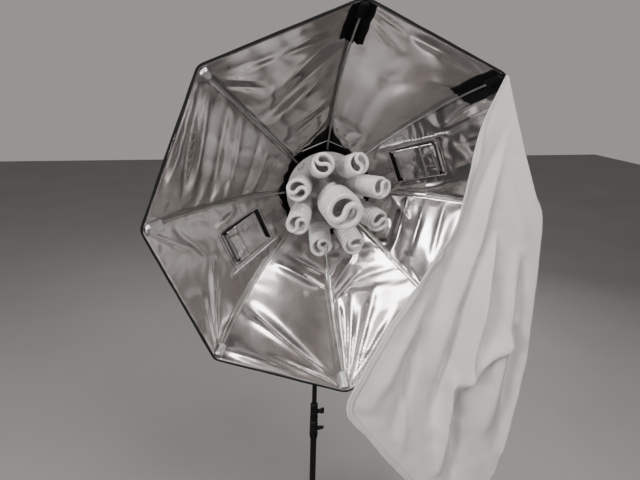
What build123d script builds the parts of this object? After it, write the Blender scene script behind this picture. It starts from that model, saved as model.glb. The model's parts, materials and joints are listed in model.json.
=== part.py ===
"""Octagonal studio softbox with a nine-lamp spiral fluorescent head on a three-section light stand.

Frame: origin on the floor under the stand, +Z up, the softbox faces -Y. Units are millimetres.
"""

from build123d import *
import math
import os

os.makedirs("parts", exist_ok=True)

# ---------------------------------------------------------------- driving dimensions
PANELS = 8  # ribs, panels and outer lamps
AXIS_HEIGHT = 1490.0  # centre of the octagon above the floor
RIM_RADIUS = 450.0  # octagon, centre to corner
RIM_REACH = 382.0  # rim plane in front of the stand's axis
PLATE_REACH = 91.0  # lamp plate's front face in front of the stand's axis
PLATE_RADIUS = 111.0
PLATE_THICKNESS = 1.5

RIB_RADIUS = 2.5
RIB_ROOT = (112.0, 87.0)  # (radius, reach) of the rod's inner end
RIB_TIP = (439.5, 380.5)
RIB_BOW = 36.0  # how far the rod bows behind its chord
FABRIC_HOLE = (141.0, 92.0)  # (corner radius, reach) of the shell's inner edge
FABRIC_BOW = 32.0
FABRIC_THICKNESS = 1.5
WINDOW = (193.0, 297.0, 90.0)  # inner and outer distance along the panel's middle, width
WINDOW_CLOCK = 67.5  # clock angle of the right window, the left one is opposite

HOUSING_RADIUS = 100.0
HOUSING_BACK = 20.0  # reach of the rear cover's outer face
LAMP_CIRCLE = 65.0
LAMP_SPLAY = 18.0
SOCKET_RADIUS = 19.5
SOCKET_DEPTH = 26.0  # behind the plate
SOCKET_RISE = 20.0  # in front of the plate
CAP_RADIUS = 13.3
OUTER_COIL = (24.75, 4.75, 11.0, 7.5)  # centre line radius, tube radius, ring spacing, rings
CENTRE_COIL = (39.75, 8.25, 19.0, 5.5)
OUTER_BALLAST = 76.0  # top of the lamp's plastic base above the plate
CENTRE_BALLAST = 96.0

TILT_DROP = 125.0  # tilt axis below the lamp axis
TILT_HEIGHT = AXIS_HEIGHT - TILT_DROP

LOWER_TUBE_RADIUS = 11.0
MID_TUBE_RADIUS = 9.5
TOP_TUBE_RADIUS = 8.0
TUBE_WALL = 1.2
LOWER_TUBE_BOTTOM = 74.0
LOWER_COLLAR_BOTTOM = 560.0
COLLAR_LENGTH = 73.0
COLLAR_GAP = 0.5
TOP_TUBE_BOTTOM = 622.0
TOP_TUBE_TOP = 1262.0

LEGS = 3
LEG_PIVOT = (36.0, 290.0)  # (radius, height)
LEG_FOOT = (432.0, 9.0)
LEG_WIDTH = 14.0
LEG_DEPTH = 18.0
LEG_WALL = 1.5
BRACE_PIVOT = (19.0, 90.0)
BRACE_JOIN = 230.0  # along the leg from its pivot
BRACE_THICKNESS = 2.5
BRACE_WIDTH = 11.0
SIDE_GAP = 0.6  # between a leg or a tongue and the bars beside it
PIN_RADIUS = 2.5
PIN_CLEARANCE = 0.06
TURN_CLEARANCE = 0.1

LEG_AZIMUTHS = [-90.0 + 360.0 / LEGS * n for n in range(LEGS)]
RIB_STEP = 360.0 / PANELS
HALF_STEP = RIB_STEP / 2

# The optical plane stands on the stand's axis: local x right, y up, z forward to the rim.
optical = Plane(origin=(0, 0, AXIS_HEIGHT), x_dir=(1, 0, 0), z_dir=(0, -1, 0))


def save(piece, name):
    """Labels a finished sub-part and writes its STEP."""
    piece.part.label = name
    export_step(piece.part, f"parts/{name}.step")


def at_reach(reach):
    """The optical plane moved forward to a reach from the stand's axis."""
    return optical.offset(reach)


def radial_plane(angle):
    """Holds the lamp axis and one radius: local x is the radius, y is forward."""
    return Plane(optical.location * Location((0, 0, 0), (0, 0, angle)) * Location((0, 0, 0), (90, 0, 0)))


def leg_plane(azimuth):
    """Holds the stand's axis and one radius: local x is the radius, y is up."""
    return Plane(Location((0, 0, 0), (0, 0, azimuth)) * Location((0, 0, 0), (90, 0, 0)))


def lamp_plane(angle):
    """The plate's front face at one outer lamp, leaning out by the lamps' splay."""
    at_plate = optical.location * Location((0, 0, PLATE_REACH), (0, 0, angle))
    return Plane(at_plate * Location((LAMP_CIRCLE, 0, 0), (0, LAMP_SPLAY, 0)))


rib_planes = [radial_plane(RIB_STEP * n) for n in range(PANELS)]
lamp_planes = [lamp_plane(HALF_STEP + RIB_STEP * n) for n in range(PANELS)]
centre_lamp_plane = at_reach(PLATE_REACH)


# ================================================================ LIGHT STAND
lower_collar_top = LOWER_COLLAR_BOTTOM + COLLAR_LENGTH
upper_collar_bottom = lower_collar_top + COLLAR_GAP
upper_collar_top = upper_collar_bottom + COLLAR_LENGTH
lower_screw_height = LOWER_COLLAR_BOTTOM + COLLAR_LENGTH / 2
upper_screw_height = upper_collar_bottom + COLLAR_LENGTH / 2
TUBE_SEAT = 18.0  # a collar's top above the end of the tube it caps
MID_TUBE_BOTTOM = 95.0
STEM_RADIUS = 3.0
STEM_HOLE_RADIUS = 3.6


def tube(name, radius, bottom, top, screw_height=None):
    """A round tube on the stand's axis, with a hole in its side for a lock screw."""
    with BuildPart() as piece:
        with BuildSketch(Plane.XY.offset(bottom)):
            Circle(radius)
            Circle(radius - TUBE_WALL, mode=Mode.SUBTRACT)
        extrude(amount=top - bottom)
        if screw_height:
            with BuildSketch(Plane.YZ):
                with Locations((0, screw_height)):
                    Circle(STEM_HOLE_RADIUS)
            extrude(amount=radius * 2, mode=Mode.SUBTRACT)
    save(piece, name)


tube("lower_tube", LOWER_TUBE_RADIUS, LOWER_TUBE_BOTTOM, lower_collar_top - TUBE_SEAT, lower_screw_height)
tube("mid_tube", MID_TUBE_RADIUS, MID_TUBE_BOTTOM, upper_collar_top - TUBE_SEAT, upper_screw_height)
tube("top_tube", TOP_TUBE_RADIUS, TOP_TUBE_BOTTOM, TOP_TUBE_TOP)

BOSS_RADIUS = 8.0
BOSS_REACH = 19.0
STEM_TIP_GAP = 0.4
GRIP_RINGS = (10.0, 14.0, 18.0)  # heights of the raised rings on a collar


def tube_collar(name, bottom, shell_radius, capped_radius, sliding_radius):
    """A moulded collar: caps one tube, guides the tube inside it, and has a boss for its lock screw."""
    seat_length = COLLAR_LENGTH - TUBE_SEAT
    with BuildPart(Plane.XY.offset(bottom)) as collar:
        Cylinder(shell_radius, COLLAR_LENGTH, align=(Align.CENTER, Align.CENTER, Align.MIN))
        chamfer(collar.edges().filter_by(GeomType.CIRCLE).group_by(Axis.Z)[-1], 3.0)
        fillet(collar.edges().filter_by(GeomType.CIRCLE).group_by(Axis.Z)[0], 1.0)
        for ring_height in GRIP_RINGS:
            with BuildSketch(Plane.XY.offset(bottom + ring_height)):
                Circle(shell_radius + 0.8)
                Circle(shell_radius - 1.0, mode=Mode.SUBTRACT)
            extrude(amount=2.0)
        with BuildSketch(Plane.YZ):
            with Locations((0, bottom + COLLAR_LENGTH / 2)):
                Circle(BOSS_RADIUS)
        extrude(amount=BOSS_REACH)
        with BuildSketch(Plane.XY.offset(bottom)):
            Circle(capped_radius)
        extrude(amount=seat_length, mode=Mode.SUBTRACT)
        with BuildSketch(Plane.XY.offset(bottom + seat_length)):
            Circle(sliding_radius + TURN_CLEARANCE)
        extrude(amount=TUBE_SEAT, mode=Mode.SUBTRACT)
        with BuildSketch(Plane.YZ):
            with Locations((0, bottom + COLLAR_LENGTH / 2)):
                Circle(STEM_RADIUS + PIN_CLEARANCE)
        extrude(amount=BOSS_REACH, mode=Mode.SUBTRACT)
    save(collar, name)


tube_collar("lower_collar", LOWER_COLLAR_BOTTOM, 14.0, LOWER_TUBE_RADIUS, MID_TUBE_RADIUS)
tube_collar("upper_collar", upper_collar_bottom, 13.0, MID_TUBE_RADIUS, TOP_TUBE_RADIUS)


def thumb_screw(name, face, stem_radius, stem_length, hub, wing):
    """A screw with a moulded grip. The plane lies on the boss's face, its z points out along the screw.

    hub is (radius, length) of the grip's round body, wing is (span, thickness, length) of its paddle.
    """
    face_gap = 0.3
    with BuildPart(face) as screw:
        with BuildSketch(face.offset(face_gap)):
            Circle(hub[0])
        extrude(amount=hub[1])
        with BuildSketch(face.offset(face_gap + hub[1] / 2)):
            SlotOverall(wing[0], wing[1])
        extrude(amount=wing[2])
        fillet(screw.faces().sort_by(Axis(face.origin, face.z_dir))[-1].edges(), 1.2)
        with BuildSketch(face.offset(-stem_length)):
            Circle(stem_radius)
        extrude(amount=stem_length + face_gap)
    save(screw, name)


def boss_face(radius, height, azimuth, twist):
    """A plane on a boss's end at a radius and azimuth, turned about its own normal."""
    facing = Location((0, 0, height), (0, 0, azimuth)) * Location((radius, 0, 0), (0, 90, 0))
    return Plane(facing * Location((0, 0, 0), (0, 0, twist)))


COLLAR_HUB = (7.0, 9.0)
COLLAR_WING = (27.0, 7.0, 12.0)
lower_stem = BOSS_REACH - MID_TUBE_RADIUS - STEM_TIP_GAP
upper_stem = BOSS_REACH - TOP_TUBE_RADIUS - STEM_TIP_GAP
lower_face = boss_face(BOSS_REACH, lower_screw_height, 0, 35)
upper_face = boss_face(BOSS_REACH, upper_screw_height, 0, 10)
thumb_screw("lower_lock_knob", lower_face, STEM_RADIUS, lower_stem, COLLAR_HUB, COLLAR_WING)
thumb_screw("upper_lock_knob", upper_face, STEM_RADIUS, upper_stem, COLLAR_HUB, COLLAR_WING)

# ---------------------------------------------------------------- leg spreader
BARREL_RADIUS = 15.5
COLLAR_HALF = 21.0
EAR_RADIUS = 8.5
EAR_THICKNESS = 4.0
LEG_BOSS_REACH = 24.0
PIN_HEAD_RADIUS = 4.5
PIN_HEAD_HEIGHT = 1.2
ear_inner = LEG_WIDTH / 2 + SIDE_GAP / 2
ear_outer = ear_inner + EAR_THICKNESS
slot_start = BARREL_RADIUS + 2.0
slot_length = LEG_PIVOT[0] * 2
boss_azimuth = LEG_AZIMUTHS[0] + 180.0 / LEGS

with BuildPart(Plane.XY.offset(LEG_PIVOT[1])) as leg_collar:
    Cylinder(BARREL_RADIUS, COLLAR_HALF * 2)
    fillet(leg_collar.edges().filter_by(GeomType.CIRCLE), 1.5)
    for azimuth in LEG_AZIMUTHS:
        with BuildSketch(leg_plane(azimuth)):
            with Locations(LEG_PIVOT):
                Circle(EAR_RADIUS)
            with Locations((LEG_PIVOT[0] / 2, LEG_PIVOT[1])):
                Rectangle(LEG_PIVOT[0], EAR_RADIUS * 2)
        extrude(amount=ear_outer, both=True)
    for azimuth in LEG_AZIMUTHS:
        with BuildSketch(leg_plane(azimuth)):
            with Locations((slot_start + slot_length / 2, LEG_PIVOT[1])):
                Rectangle(slot_length, COLLAR_HALF * 3)
        extrude(amount=ear_inner, both=True, mode=Mode.SUBTRACT)
        with BuildSketch(leg_plane(azimuth)):
            with Locations(LEG_PIVOT):
                Circle(PIN_RADIUS)
        extrude(amount=ear_outer, both=True, mode=Mode.SUBTRACT)
    with BuildSketch(boss_face(0, LEG_PIVOT[1], boss_azimuth, 0)):
        Circle(BOSS_RADIUS)
    extrude(amount=LEG_BOSS_REACH)
    with BuildSketch(boss_face(0, LEG_PIVOT[1], boss_azimuth, 0)):
        Circle(STEM_RADIUS + PIN_CLEARANCE)
    extrude(amount=LEG_BOSS_REACH, mode=Mode.SUBTRACT)
    Cylinder(LOWER_TUBE_RADIUS + TURN_CLEARANCE, COLLAR_HALF * 2, mode=Mode.SUBTRACT)
save(leg_collar, "leg_collar")

leg_screw_face = boss_face(LEG_BOSS_REACH, LEG_PIVOT[1], boss_azimuth, 0)
leg_stem = LEG_BOSS_REACH - LOWER_TUBE_RADIUS - STEM_TIP_GAP
thumb_screw("leg_lock_knob", leg_screw_face, STEM_RADIUS, leg_stem, COLLAR_HUB, COLLAR_WING)


def pivot_pins(name, pivot, half_length):
    """One riveted pin for each leg, across the leg's plane at a pivot point, with a head at each end."""
    with BuildPart() as pins:
        for azimuth in LEG_AZIMUTHS:
            across = Plane(leg_plane(azimuth).location * Location((pivot[0], pivot[1], 0)))
            with BuildSketch(across):
                Circle(PIN_RADIUS)
            extrude(amount=half_length, both=True)
            for side in (1, -1):
                with BuildSketch(across.offset(side * half_length)):
                    Circle(PIN_HEAD_RADIUS)
                extrude(amount=side * PIN_HEAD_HEIGHT)
    save(pins, name)


pivot_pins("leg_pivot_pins", LEG_PIVOT, ear_outer)

# ---------------------------------------------------------------- legs and braces
leg_run = LEG_FOOT[0] - LEG_PIVOT[0]
leg_drop = LEG_PIVOT[1] - LEG_FOOT[1]
leg_length = math.hypot(leg_run, leg_drop)
leg_slope = math.degrees(math.atan2(leg_drop, leg_run))
join_radius = LEG_PIVOT[0] + BRACE_JOIN * leg_run / leg_length
join_height = LEG_PIVOT[1] - BRACE_JOIN * leg_drop / leg_length
brace_length = math.hypot(join_radius - BRACE_PIVOT[0], join_height - BRACE_PIVOT[1])
brace_slope = math.degrees(math.atan2(join_height - BRACE_PIVOT[1], join_radius - BRACE_PIVOT[0]))
bar_inner = LEG_WIDTH / 2 + SIDE_GAP
bar_outer = bar_inner + BRACE_THICKNESS

FOOT_GRIP = 30.0
FOOT_WALL = 3.0
FOOT_TOE = 10.0
LEG_CORNER = 3.0


def leg_axis(azimuth):
    """Starts at a leg's pivot: local x runs down the leg, z along the pivot."""
    turned = Location((LEG_PIVOT[0], LEG_PIVOT[1], 0), (0, 0, -leg_slope))
    return Plane(leg_plane(azimuth).location * turned)


def leg_section(azimuth, distance):
    """Square across a leg at a distance from its pivot: local x is the leg's width, y its depth."""
    return Plane(leg_axis(azimuth).location * Location((distance, 0, 0), (0, 90, 0)))


for number, azimuth in enumerate(LEG_AZIMUTHS, start=1):
    with BuildPart() as leg:
        with BuildSketch(leg_section(azimuth, -LEG_DEPTH / 2)):
            RectangleRounded(LEG_WIDTH, LEG_DEPTH, LEG_CORNER)
            RectangleRounded(
                LEG_WIDTH - 2 * LEG_WALL, LEG_DEPTH - 2 * LEG_WALL, LEG_CORNER - LEG_WALL, mode=Mode.SUBTRACT
            )
        extrude(amount=leg_length + LEG_DEPTH / 2)
        with BuildSketch(leg_axis(azimuth)):
            Circle(LEG_DEPTH / 2)
            with Locations((leg_length / 2, 0)):
                Rectangle(leg_length, LEG_DEPTH)
        extrude(amount=LEG_WIDTH, both=True, mode=Mode.INTERSECT)
        with BuildSketch(leg_axis(azimuth)):
            Circle(PIN_RADIUS + PIN_CLEARANCE)
        extrude(amount=LEG_WIDTH, both=True, mode=Mode.SUBTRACT)
    save(leg, f"leg_{number}")

    with BuildPart() as foot:
        with BuildSketch(leg_section(azimuth, leg_length - FOOT_GRIP)):
            RectangleRounded(LEG_WIDTH + 2 * FOOT_WALL, LEG_DEPTH + 2 * FOOT_WALL, LEG_CORNER + FOOT_WALL / 2)
        extrude(amount=FOOT_GRIP + FOOT_TOE)
        fillet(foot.faces().sort_by(Axis.Z)[0].edges(), 2.0)
        with BuildSketch(leg_section(azimuth, leg_length - FOOT_GRIP)):
            RectangleRounded(LEG_WIDTH, LEG_DEPTH, LEG_CORNER)
        extrude(amount=FOOT_GRIP, mode=Mode.SUBTRACT)
        with BuildSketch(Plane.XY):
            Circle(LEG_FOOT[0] * 2)
        extrude(amount=-LEG_FOOT[1] * 4, mode=Mode.SUBTRACT)
    save(foot, f"foot_{number}")

    brace_turn = Location((BRACE_PIVOT[0], BRACE_PIVOT[1], 0), (0, 0, brace_slope))
    brace_axis = Plane(leg_plane(azimuth).location * brace_turn)
    with BuildPart() as brace:
        for side in (1, -1):
            with BuildSketch(brace_axis.offset(side * bar_inner)):
                with Locations((brace_length / 2, 0)):
                    SlotCenterToCenter(brace_length, BRACE_WIDTH)
                Circle(PIN_RADIUS + PIN_CLEARANCE, mode=Mode.SUBTRACT)
            extrude(amount=side * BRACE_THICKNESS)
            with BuildSketch(brace_axis.offset(side * bar_outer)):
                with Locations((brace_length, 0)):
                    Circle(PIN_HEAD_RADIUS)
            extrude(amount=side * PIN_HEAD_HEIGHT)
    save(brace, f"brace_{number}")

BRACKET_RADIUS = 14.0
BRACKET_BOTTOM = 76.0
BRACKET_TOP = 106.0
TONGUE_RADIUS = 6.5
with BuildPart(Plane.XY.offset(BRACKET_BOTTOM)) as bottom_bracket:
    Cylinder(BRACKET_RADIUS, BRACKET_TOP - BRACKET_BOTTOM, align=(Align.CENTER, Align.CENTER, Align.MIN))
    chamfer(bottom_bracket.edges().filter_by(GeomType.CIRCLE), 1.2)
    for azimuth in LEG_AZIMUTHS:
        with BuildSketch(leg_plane(azimuth)):
            with Locations(BRACE_PIVOT):
                Circle(TONGUE_RADIUS)
            with Locations((BRACE_PIVOT[0] / 2, BRACE_PIVOT[1])):
                Rectangle(BRACE_PIVOT[0], TONGUE_RADIUS * 2)
        extrude(amount=LEG_WIDTH / 2, both=True)
        with BuildSketch(leg_plane(azimuth)):
            with Locations(BRACE_PIVOT):
                Circle(PIN_RADIUS)
        extrude(amount=LEG_WIDTH / 2, both=True, mode=Mode.SUBTRACT)
    with BuildSketch(Plane.XY.offset(BRACKET_BOTTOM)):
        Circle(LOWER_TUBE_RADIUS)
    extrude(amount=BRACKET_TOP - BRACKET_BOTTOM, mode=Mode.SUBTRACT)
save(bottom_bracket, "bottom_bracket")

pivot_pins("brace_pivot_pins", BRACE_PIVOT, bar_outer + TURN_CLEARANCE)

PLUG_FLANGE = 5.0
PLUG_LENGTH = 12.0
with BuildPart() as tube_plug:
    with BuildSketch(Plane.XY.offset(LOWER_TUBE_BOTTOM)):
        Circle(LOWER_TUBE_RADIUS + 1.0)
    extrude(amount=-PLUG_FLANGE)
    fillet(tube_plug.edges().group_by(Axis.Z)[0], 1.5)
    with BuildSketch(Plane.XY.offset(LOWER_TUBE_BOTTOM)):
        Circle(LOWER_TUBE_RADIUS - TUBE_WALL)
    extrude(amount=PLUG_LENGTH)
save(tube_plug, "tube_plug")

# ---------------------------------------------------------------- spigot and tilt adapter
SPIGOT_FLANGE = (10.5, 5.0)  # radius, thickness
SPIGOT_RADIUS = 7.9
SPIGOT_LENGTH = 55.0
SPIGOT_PLUG = 22.0
GROOVE_RADIUS = 6.5
GROOVE_HEIGHTS = (21.0, 33.0)  # above the flange
flange_top = TOP_TUBE_TOP + SPIGOT_FLANGE[1]
with BuildPart() as spigot:
    with BuildSketch(Plane.XY.offset(TOP_TUBE_TOP)):
        Circle(TOP_TUBE_RADIUS - TUBE_WALL)
    extrude(amount=-SPIGOT_PLUG)
    with BuildSketch(Plane.XY.offset(TOP_TUBE_TOP)):
        Circle(SPIGOT_FLANGE[0])
    extrude(amount=SPIGOT_FLANGE[1])
    with BuildSketch(Plane.XY.offset(flange_top)):
        Circle(SPIGOT_RADIUS)
    extrude(amount=SPIGOT_LENGTH)
    chamfer(spigot.edges().group_by(Axis.Z)[-1], 1.5)
    with BuildSketch(Plane.XY.offset(flange_top + GROOVE_HEIGHTS[0])):
        Circle(SPIGOT_RADIUS + 1.0)
        Circle(GROOVE_RADIUS, mode=Mode.SUBTRACT)
    extrude(amount=GROOVE_HEIGHTS[1] - GROOVE_HEIGHTS[0], mode=Mode.SUBTRACT)
save(spigot, "spigot")

ADAPTER_RADIUS = 15.0
ADAPTER_BOTTOM = flange_top + 1.0
ADAPTER_BORE_TOP = flange_top + SPIGOT_LENGTH + 4.0
CLAMP_BOSS_REACH = 21.0
CLEVIS_RADIUS = 17.0
CLEVIS_HALF_WIDTH = 17.0
TONGUE_HALF_WIDTH = 9.0
FORK_RADIUS = 15.0
AXLE_RADIUS = 4.0
UMBRELLA_RADIUS = 4.5
UMBRELLA_HEIGHT = TILT_HEIGHT - 28.0
BLOCK_DEPTH = 28.0
clamp_height = flange_top + sum(GROOVE_HEIGHTS) / 2
block_bottom = ADAPTER_BORE_TOP
block_top = TILT_HEIGHT
slot_bottom = TILT_HEIGHT - FORK_RADIUS - 3.0
with BuildPart() as stand_adapter:
    with BuildSketch(Plane.XY.offset(ADAPTER_BOTTOM)):
        Circle(ADAPTER_RADIUS)
    extrude(amount=block_bottom - ADAPTER_BOTTOM + 4.0)
    chamfer(stand_adapter.edges().group_by(Axis.Z)[0], 1.5)
    with BuildSketch(Plane.XY.offset(block_bottom)):
        RectangleRounded(CLEVIS_HALF_WIDTH * 2, BLOCK_DEPTH, 4.0)
    extrude(amount=block_top - block_bottom)
    with BuildSketch(Plane.YZ):
        with Locations((0, TILT_HEIGHT)):
            Circle(CLEVIS_RADIUS)
    extrude(amount=CLEVIS_HALF_WIDTH, both=True)
    with BuildSketch(Plane.XZ):
        with Locations((0, slot_bottom + CLEVIS_RADIUS * 2)):
            Rectangle(2 * (TONGUE_HALF_WIDTH + TURN_CLEARANCE), CLEVIS_RADIUS * 4)
    extrude(amount=CLEVIS_RADIUS * 2, both=True, mode=Mode.SUBTRACT)
    with BuildSketch(Plane.YZ):
        with Locations((0, TILT_HEIGHT)):
            Circle(AXLE_RADIUS)
    extrude(amount=CLEVIS_HALF_WIDTH, both=True, mode=Mode.SUBTRACT)
    with BuildSketch(boss_face(0, clamp_height, 90, 0)):
        Circle(BOSS_RADIUS)
    extrude(amount=CLAMP_BOSS_REACH)
    with BuildSketch(boss_face(0, clamp_height, 90, 0)):
        Circle(STEM_RADIUS + PIN_CLEARANCE)
    extrude(amount=CLAMP_BOSS_REACH, mode=Mode.SUBTRACT)
    with BuildSketch(Plane.XY.offset(ADAPTER_BOTTOM)):
        Circle(SPIGOT_RADIUS + TURN_CLEARANCE)
    extrude(amount=ADAPTER_BORE_TOP - ADAPTER_BOTTOM, mode=Mode.SUBTRACT)
    with BuildSketch(Plane.XZ):
        with Locations((0, UMBRELLA_HEIGHT)):
            Circle(UMBRELLA_RADIUS)
    extrude(amount=BLOCK_DEPTH, both=True, mode=Mode.SUBTRACT)
    with BuildSketch(boss_face(0, UMBRELLA_HEIGHT, 180, 0)):
        Circle(PIN_RADIUS + PIN_CLEARANCE)
    extrude(amount=CLEVIS_HALF_WIDTH, mode=Mode.SUBTRACT)
save(stand_adapter, "stand_adapter")

clamp_stem = CLAMP_BOSS_REACH - GROOVE_RADIUS - STEM_TIP_GAP
clamp_face = boss_face(CLAMP_BOSS_REACH, clamp_height, 90, 60)
thumb_screw("spigot_clamp_knob", clamp_face, STEM_RADIUS, clamp_stem, COLLAR_HUB, COLLAR_WING)
umbrella_face = boss_face(CLEVIS_HALF_WIDTH, UMBRELLA_HEIGHT, 180, 90)
umbrella_stem = CLEVIS_HALF_WIDTH - UMBRELLA_RADIUS - STEM_TIP_GAP
thumb_screw("umbrella_screw", umbrella_face, PIN_RADIUS, umbrella_stem, (4.5, 7.0), (16.0, 5.0, 9.0))

AXLE_HEAD = (7.0, 5.0)  # hexagon's corner radius, height
LEVER_HUB = (10.0, 10.5)  # radius, length
LEVER_GAP = 0.4
LEVER_TIP = (38.0, -28.0)  # behind and below the axle
lever_start = CLEVIS_HALF_WIDTH + LEVER_GAP
with BuildPart() as tilt_axle:
    with BuildSketch(Plane.YZ.offset(-CLEVIS_HALF_WIDTH)):
        with Locations((0, TILT_HEIGHT)):
            RegularPolygon(AXLE_HEAD[0], 6)
    extrude(amount=-AXLE_HEAD[1])
    with BuildSketch(Plane.YZ.offset(-CLEVIS_HALF_WIDTH)):
        with Locations((0, TILT_HEIGHT)):
            Circle(AXLE_RADIUS)
    extrude(amount=CLEVIS_HALF_WIDTH + lever_start + LEVER_HUB[1] - 2.0)
save(tilt_axle, "tilt_axle")

with BuildPart() as tilt_lever:
    with BuildSketch(Plane.YZ.offset(lever_start + 3.0)):
        with Locations((0, TILT_HEIGHT)):
            Circle(7.0)
        with Locations((LEVER_TIP[0], TILT_HEIGHT + LEVER_TIP[1])):
            Circle(5.0)
        make_hull()
    extrude(amount=6.0)
    fillet(tilt_lever.faces().filter_by(Axis.X).edges(), 1.2)
    with BuildSketch(Plane.YZ.offset(lever_start)):
        with Locations((0, TILT_HEIGHT)):
            Circle(LEVER_HUB[0])
    extrude(amount=LEVER_HUB[1])
    with BuildSketch(Plane.YZ.offset(lever_start)):
        with Locations((0, TILT_HEIGHT)):
            Circle(AXLE_RADIUS + PIN_CLEARANCE)
    extrude(amount=LEVER_HUB[1], mode=Mode.SUBTRACT)
save(tilt_lever, "tilt_lever")

# ================================================================ LAMP HEAD
PAD_HALF_WIDTH = 30.0
PAD_THICKNESS = 6.0
PAD_BOTTOM = 30.0  # above the tilt axis
PAD_TOP = 92.0
SCREW_RADIUS = 2.5
SCREW_HEAD = (4.5, 3.0)
COVER_WALL = 2.5
pad_face = -HOUSING_BACK
PAD_HOLE_SPACING = (42.0, 40.0)
pad_centre = (0, (PAD_TOP + PAD_BOTTOM) / 2 - TILT_DROP)
with BuildPart() as tilt_fork:
    with BuildSketch(Plane.YZ):
        with BuildLine():
            Polyline(
                (-FORK_RADIUS, TILT_HEIGHT),
                (FORK_RADIUS, TILT_HEIGHT),
                (pad_face + PAD_THICKNESS + 4.0, TILT_HEIGHT + PAD_TOP),
                (pad_face, TILT_HEIGHT + PAD_TOP),
                (pad_face, TILT_HEIGHT + FORK_RADIUS + 9.0),
                close=True,
            )
        make_face()
        with Locations((0, TILT_HEIGHT)):
            Circle(FORK_RADIUS)
            Circle(AXLE_RADIUS + PIN_CLEARANCE, mode=Mode.SUBTRACT)
    extrude(amount=TONGUE_HALF_WIDTH, both=True)
    with BuildSketch(at_reach(-pad_face)):
        with Locations(pad_centre):
            RectangleRounded(PAD_HALF_WIDTH * 2, PAD_TOP - PAD_BOTTOM, 6.0)
            with GridLocations(PAD_HOLE_SPACING[0], PAD_HOLE_SPACING[1], 2, 2):
                Circle(SCREW_RADIUS, mode=Mode.SUBTRACT)
    extrude(amount=-PAD_THICKNESS)
save(tilt_fork, "tilt_fork")

with BuildPart() as housing_screws:
    with BuildSketch(at_reach(HOUSING_BACK - PAD_THICKNESS)):
        with Locations(pad_centre):
            with GridLocations(PAD_HOLE_SPACING[0], PAD_HOLE_SPACING[1], 2, 2):
                Circle(SCREW_RADIUS)
    extrude(amount=PAD_THICKNESS + COVER_WALL + 4.0)
    with BuildSketch(at_reach(HOUSING_BACK - PAD_THICKNESS)):
        with Locations(pad_centre):
            with GridLocations(PAD_HOLE_SPACING[0], PAD_HOLE_SPACING[1], 2, 2):
                Circle(SCREW_HEAD[0])
    extrude(amount=-SCREW_HEAD[1])
save(housing_screws, "housing_screws")

RING_THICKNESS = 3.0
RING_RADII = (88.0, 107.0)
DRUM_WALL = 2.0
DRUM_BACK = 30.0
VENTS = 16
plate_back = PLATE_REACH - PLATE_THICKNESS
ring_back = plate_back - RING_THICKNESS
with BuildPart(at_reach(DRUM_BACK)) as housing_drum:
    with BuildSketch(at_reach(DRUM_BACK)):
        Circle(HOUSING_RADIUS)
        Circle(HOUSING_RADIUS - DRUM_WALL, mode=Mode.SUBTRACT)
    extrude(amount=ring_back - DRUM_BACK)
    for number in range(VENTS):
        vent_angle = 360.0 / VENTS * (number + 0.5)
        with BuildSketch(radial_plane(vent_angle)):
            with Locations((HOUSING_RADIUS, DRUM_BACK + 13.0)):
                Rectangle(DRUM_WALL * 4, 12.0)
        extrude(amount=2.0, both=True, mode=Mode.SUBTRACT)
save(housing_drum, "housing_drum")

SWITCHES = 3
SWITCH_SPACING = 32.0
SWITCH_ROW = 20.0  # above the lamp axis
SWITCH_OPENING = (20.0, 14.0)
INLET_ROW = 62.0
INLET_OPENING = (28.0, 21.0)
switch_spots = [(SWITCH_SPACING * (number - 1), SWITCH_ROW) for number in range(SWITCHES)]
with BuildPart(at_reach(HOUSING_BACK)) as rear_cover:
    with BuildSketch(at_reach(HOUSING_BACK)):
        Circle(HOUSING_RADIUS)
        with Locations(pad_centre):
            with GridLocations(PAD_HOLE_SPACING[0], PAD_HOLE_SPACING[1], 2, 2):
                Circle(SCREW_RADIUS, mode=Mode.SUBTRACT)
        with Locations((0, INLET_ROW)):
            Rectangle(*INLET_OPENING, mode=Mode.SUBTRACT)
        with Locations(*switch_spots):
            Rectangle(*SWITCH_OPENING, mode=Mode.SUBTRACT)
    extrude(amount=COVER_WALL)
    with BuildSketch(at_reach(HOUSING_BACK + COVER_WALL)):
        Circle(HOUSING_RADIUS)
        Circle(HOUSING_RADIUS - DRUM_WALL, mode=Mode.SUBTRACT)
    extrude(amount=DRUM_BACK - HOUSING_BACK - COVER_WALL)
    back_rim = rear_cover.edges().filter_by(GeomType.CIRCLE).filter_by(
        lambda edge: edge.radius > HOUSING_RADIUS - 0.1
    )
    fillet(back_rim.sort_by(Axis.Y)[-1], 2.0)
save(rear_cover, "rear_cover")

RIVET_CIRCLE = 97.5
HOLE_SPREAD = 5.7  # degrees either side of the rib
HOLE_RADIUS = 2.2
with BuildPart(at_reach(ring_back)) as speed_ring:
    with BuildSketch(at_reach(ring_back)):
        Circle(RING_RADII[1])
        Circle(RING_RADII[0], mode=Mode.SUBTRACT)
        with PolarLocations(RIVET_CIRCLE, PANELS):
            Circle(SCREW_RADIUS, mode=Mode.SUBTRACT)
    extrude(amount=RING_THICKNESS)
save(speed_ring, "speed_ring")

with BuildPart(at_reach(plate_back)) as lamp_plate:
    with BuildSketch(at_reach(plate_back)):
        Circle(PLATE_RADIUS)
        Circle(SOCKET_RADIUS, mode=Mode.SUBTRACT)
        with PolarLocations(RIVET_CIRCLE, PANELS):
            Circle(SCREW_RADIUS, mode=Mode.SUBTRACT)
        for side in (-HOLE_SPREAD, HOLE_SPREAD):
            with PolarLocations(RIVET_CIRCLE + 3.5, PANELS, start_angle=side):
                Circle(HOLE_RADIUS, mode=Mode.SUBTRACT)
    extrude(amount=PLATE_THICKNESS)
    for plane in lamp_planes:
        with BuildSketch(plane):
            Circle(SOCKET_RADIUS)
        extrude(amount=SOCKET_RISE / 2, both=True, mode=Mode.SUBTRACT)
save(lamp_plate, "lamp_plate")

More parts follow.
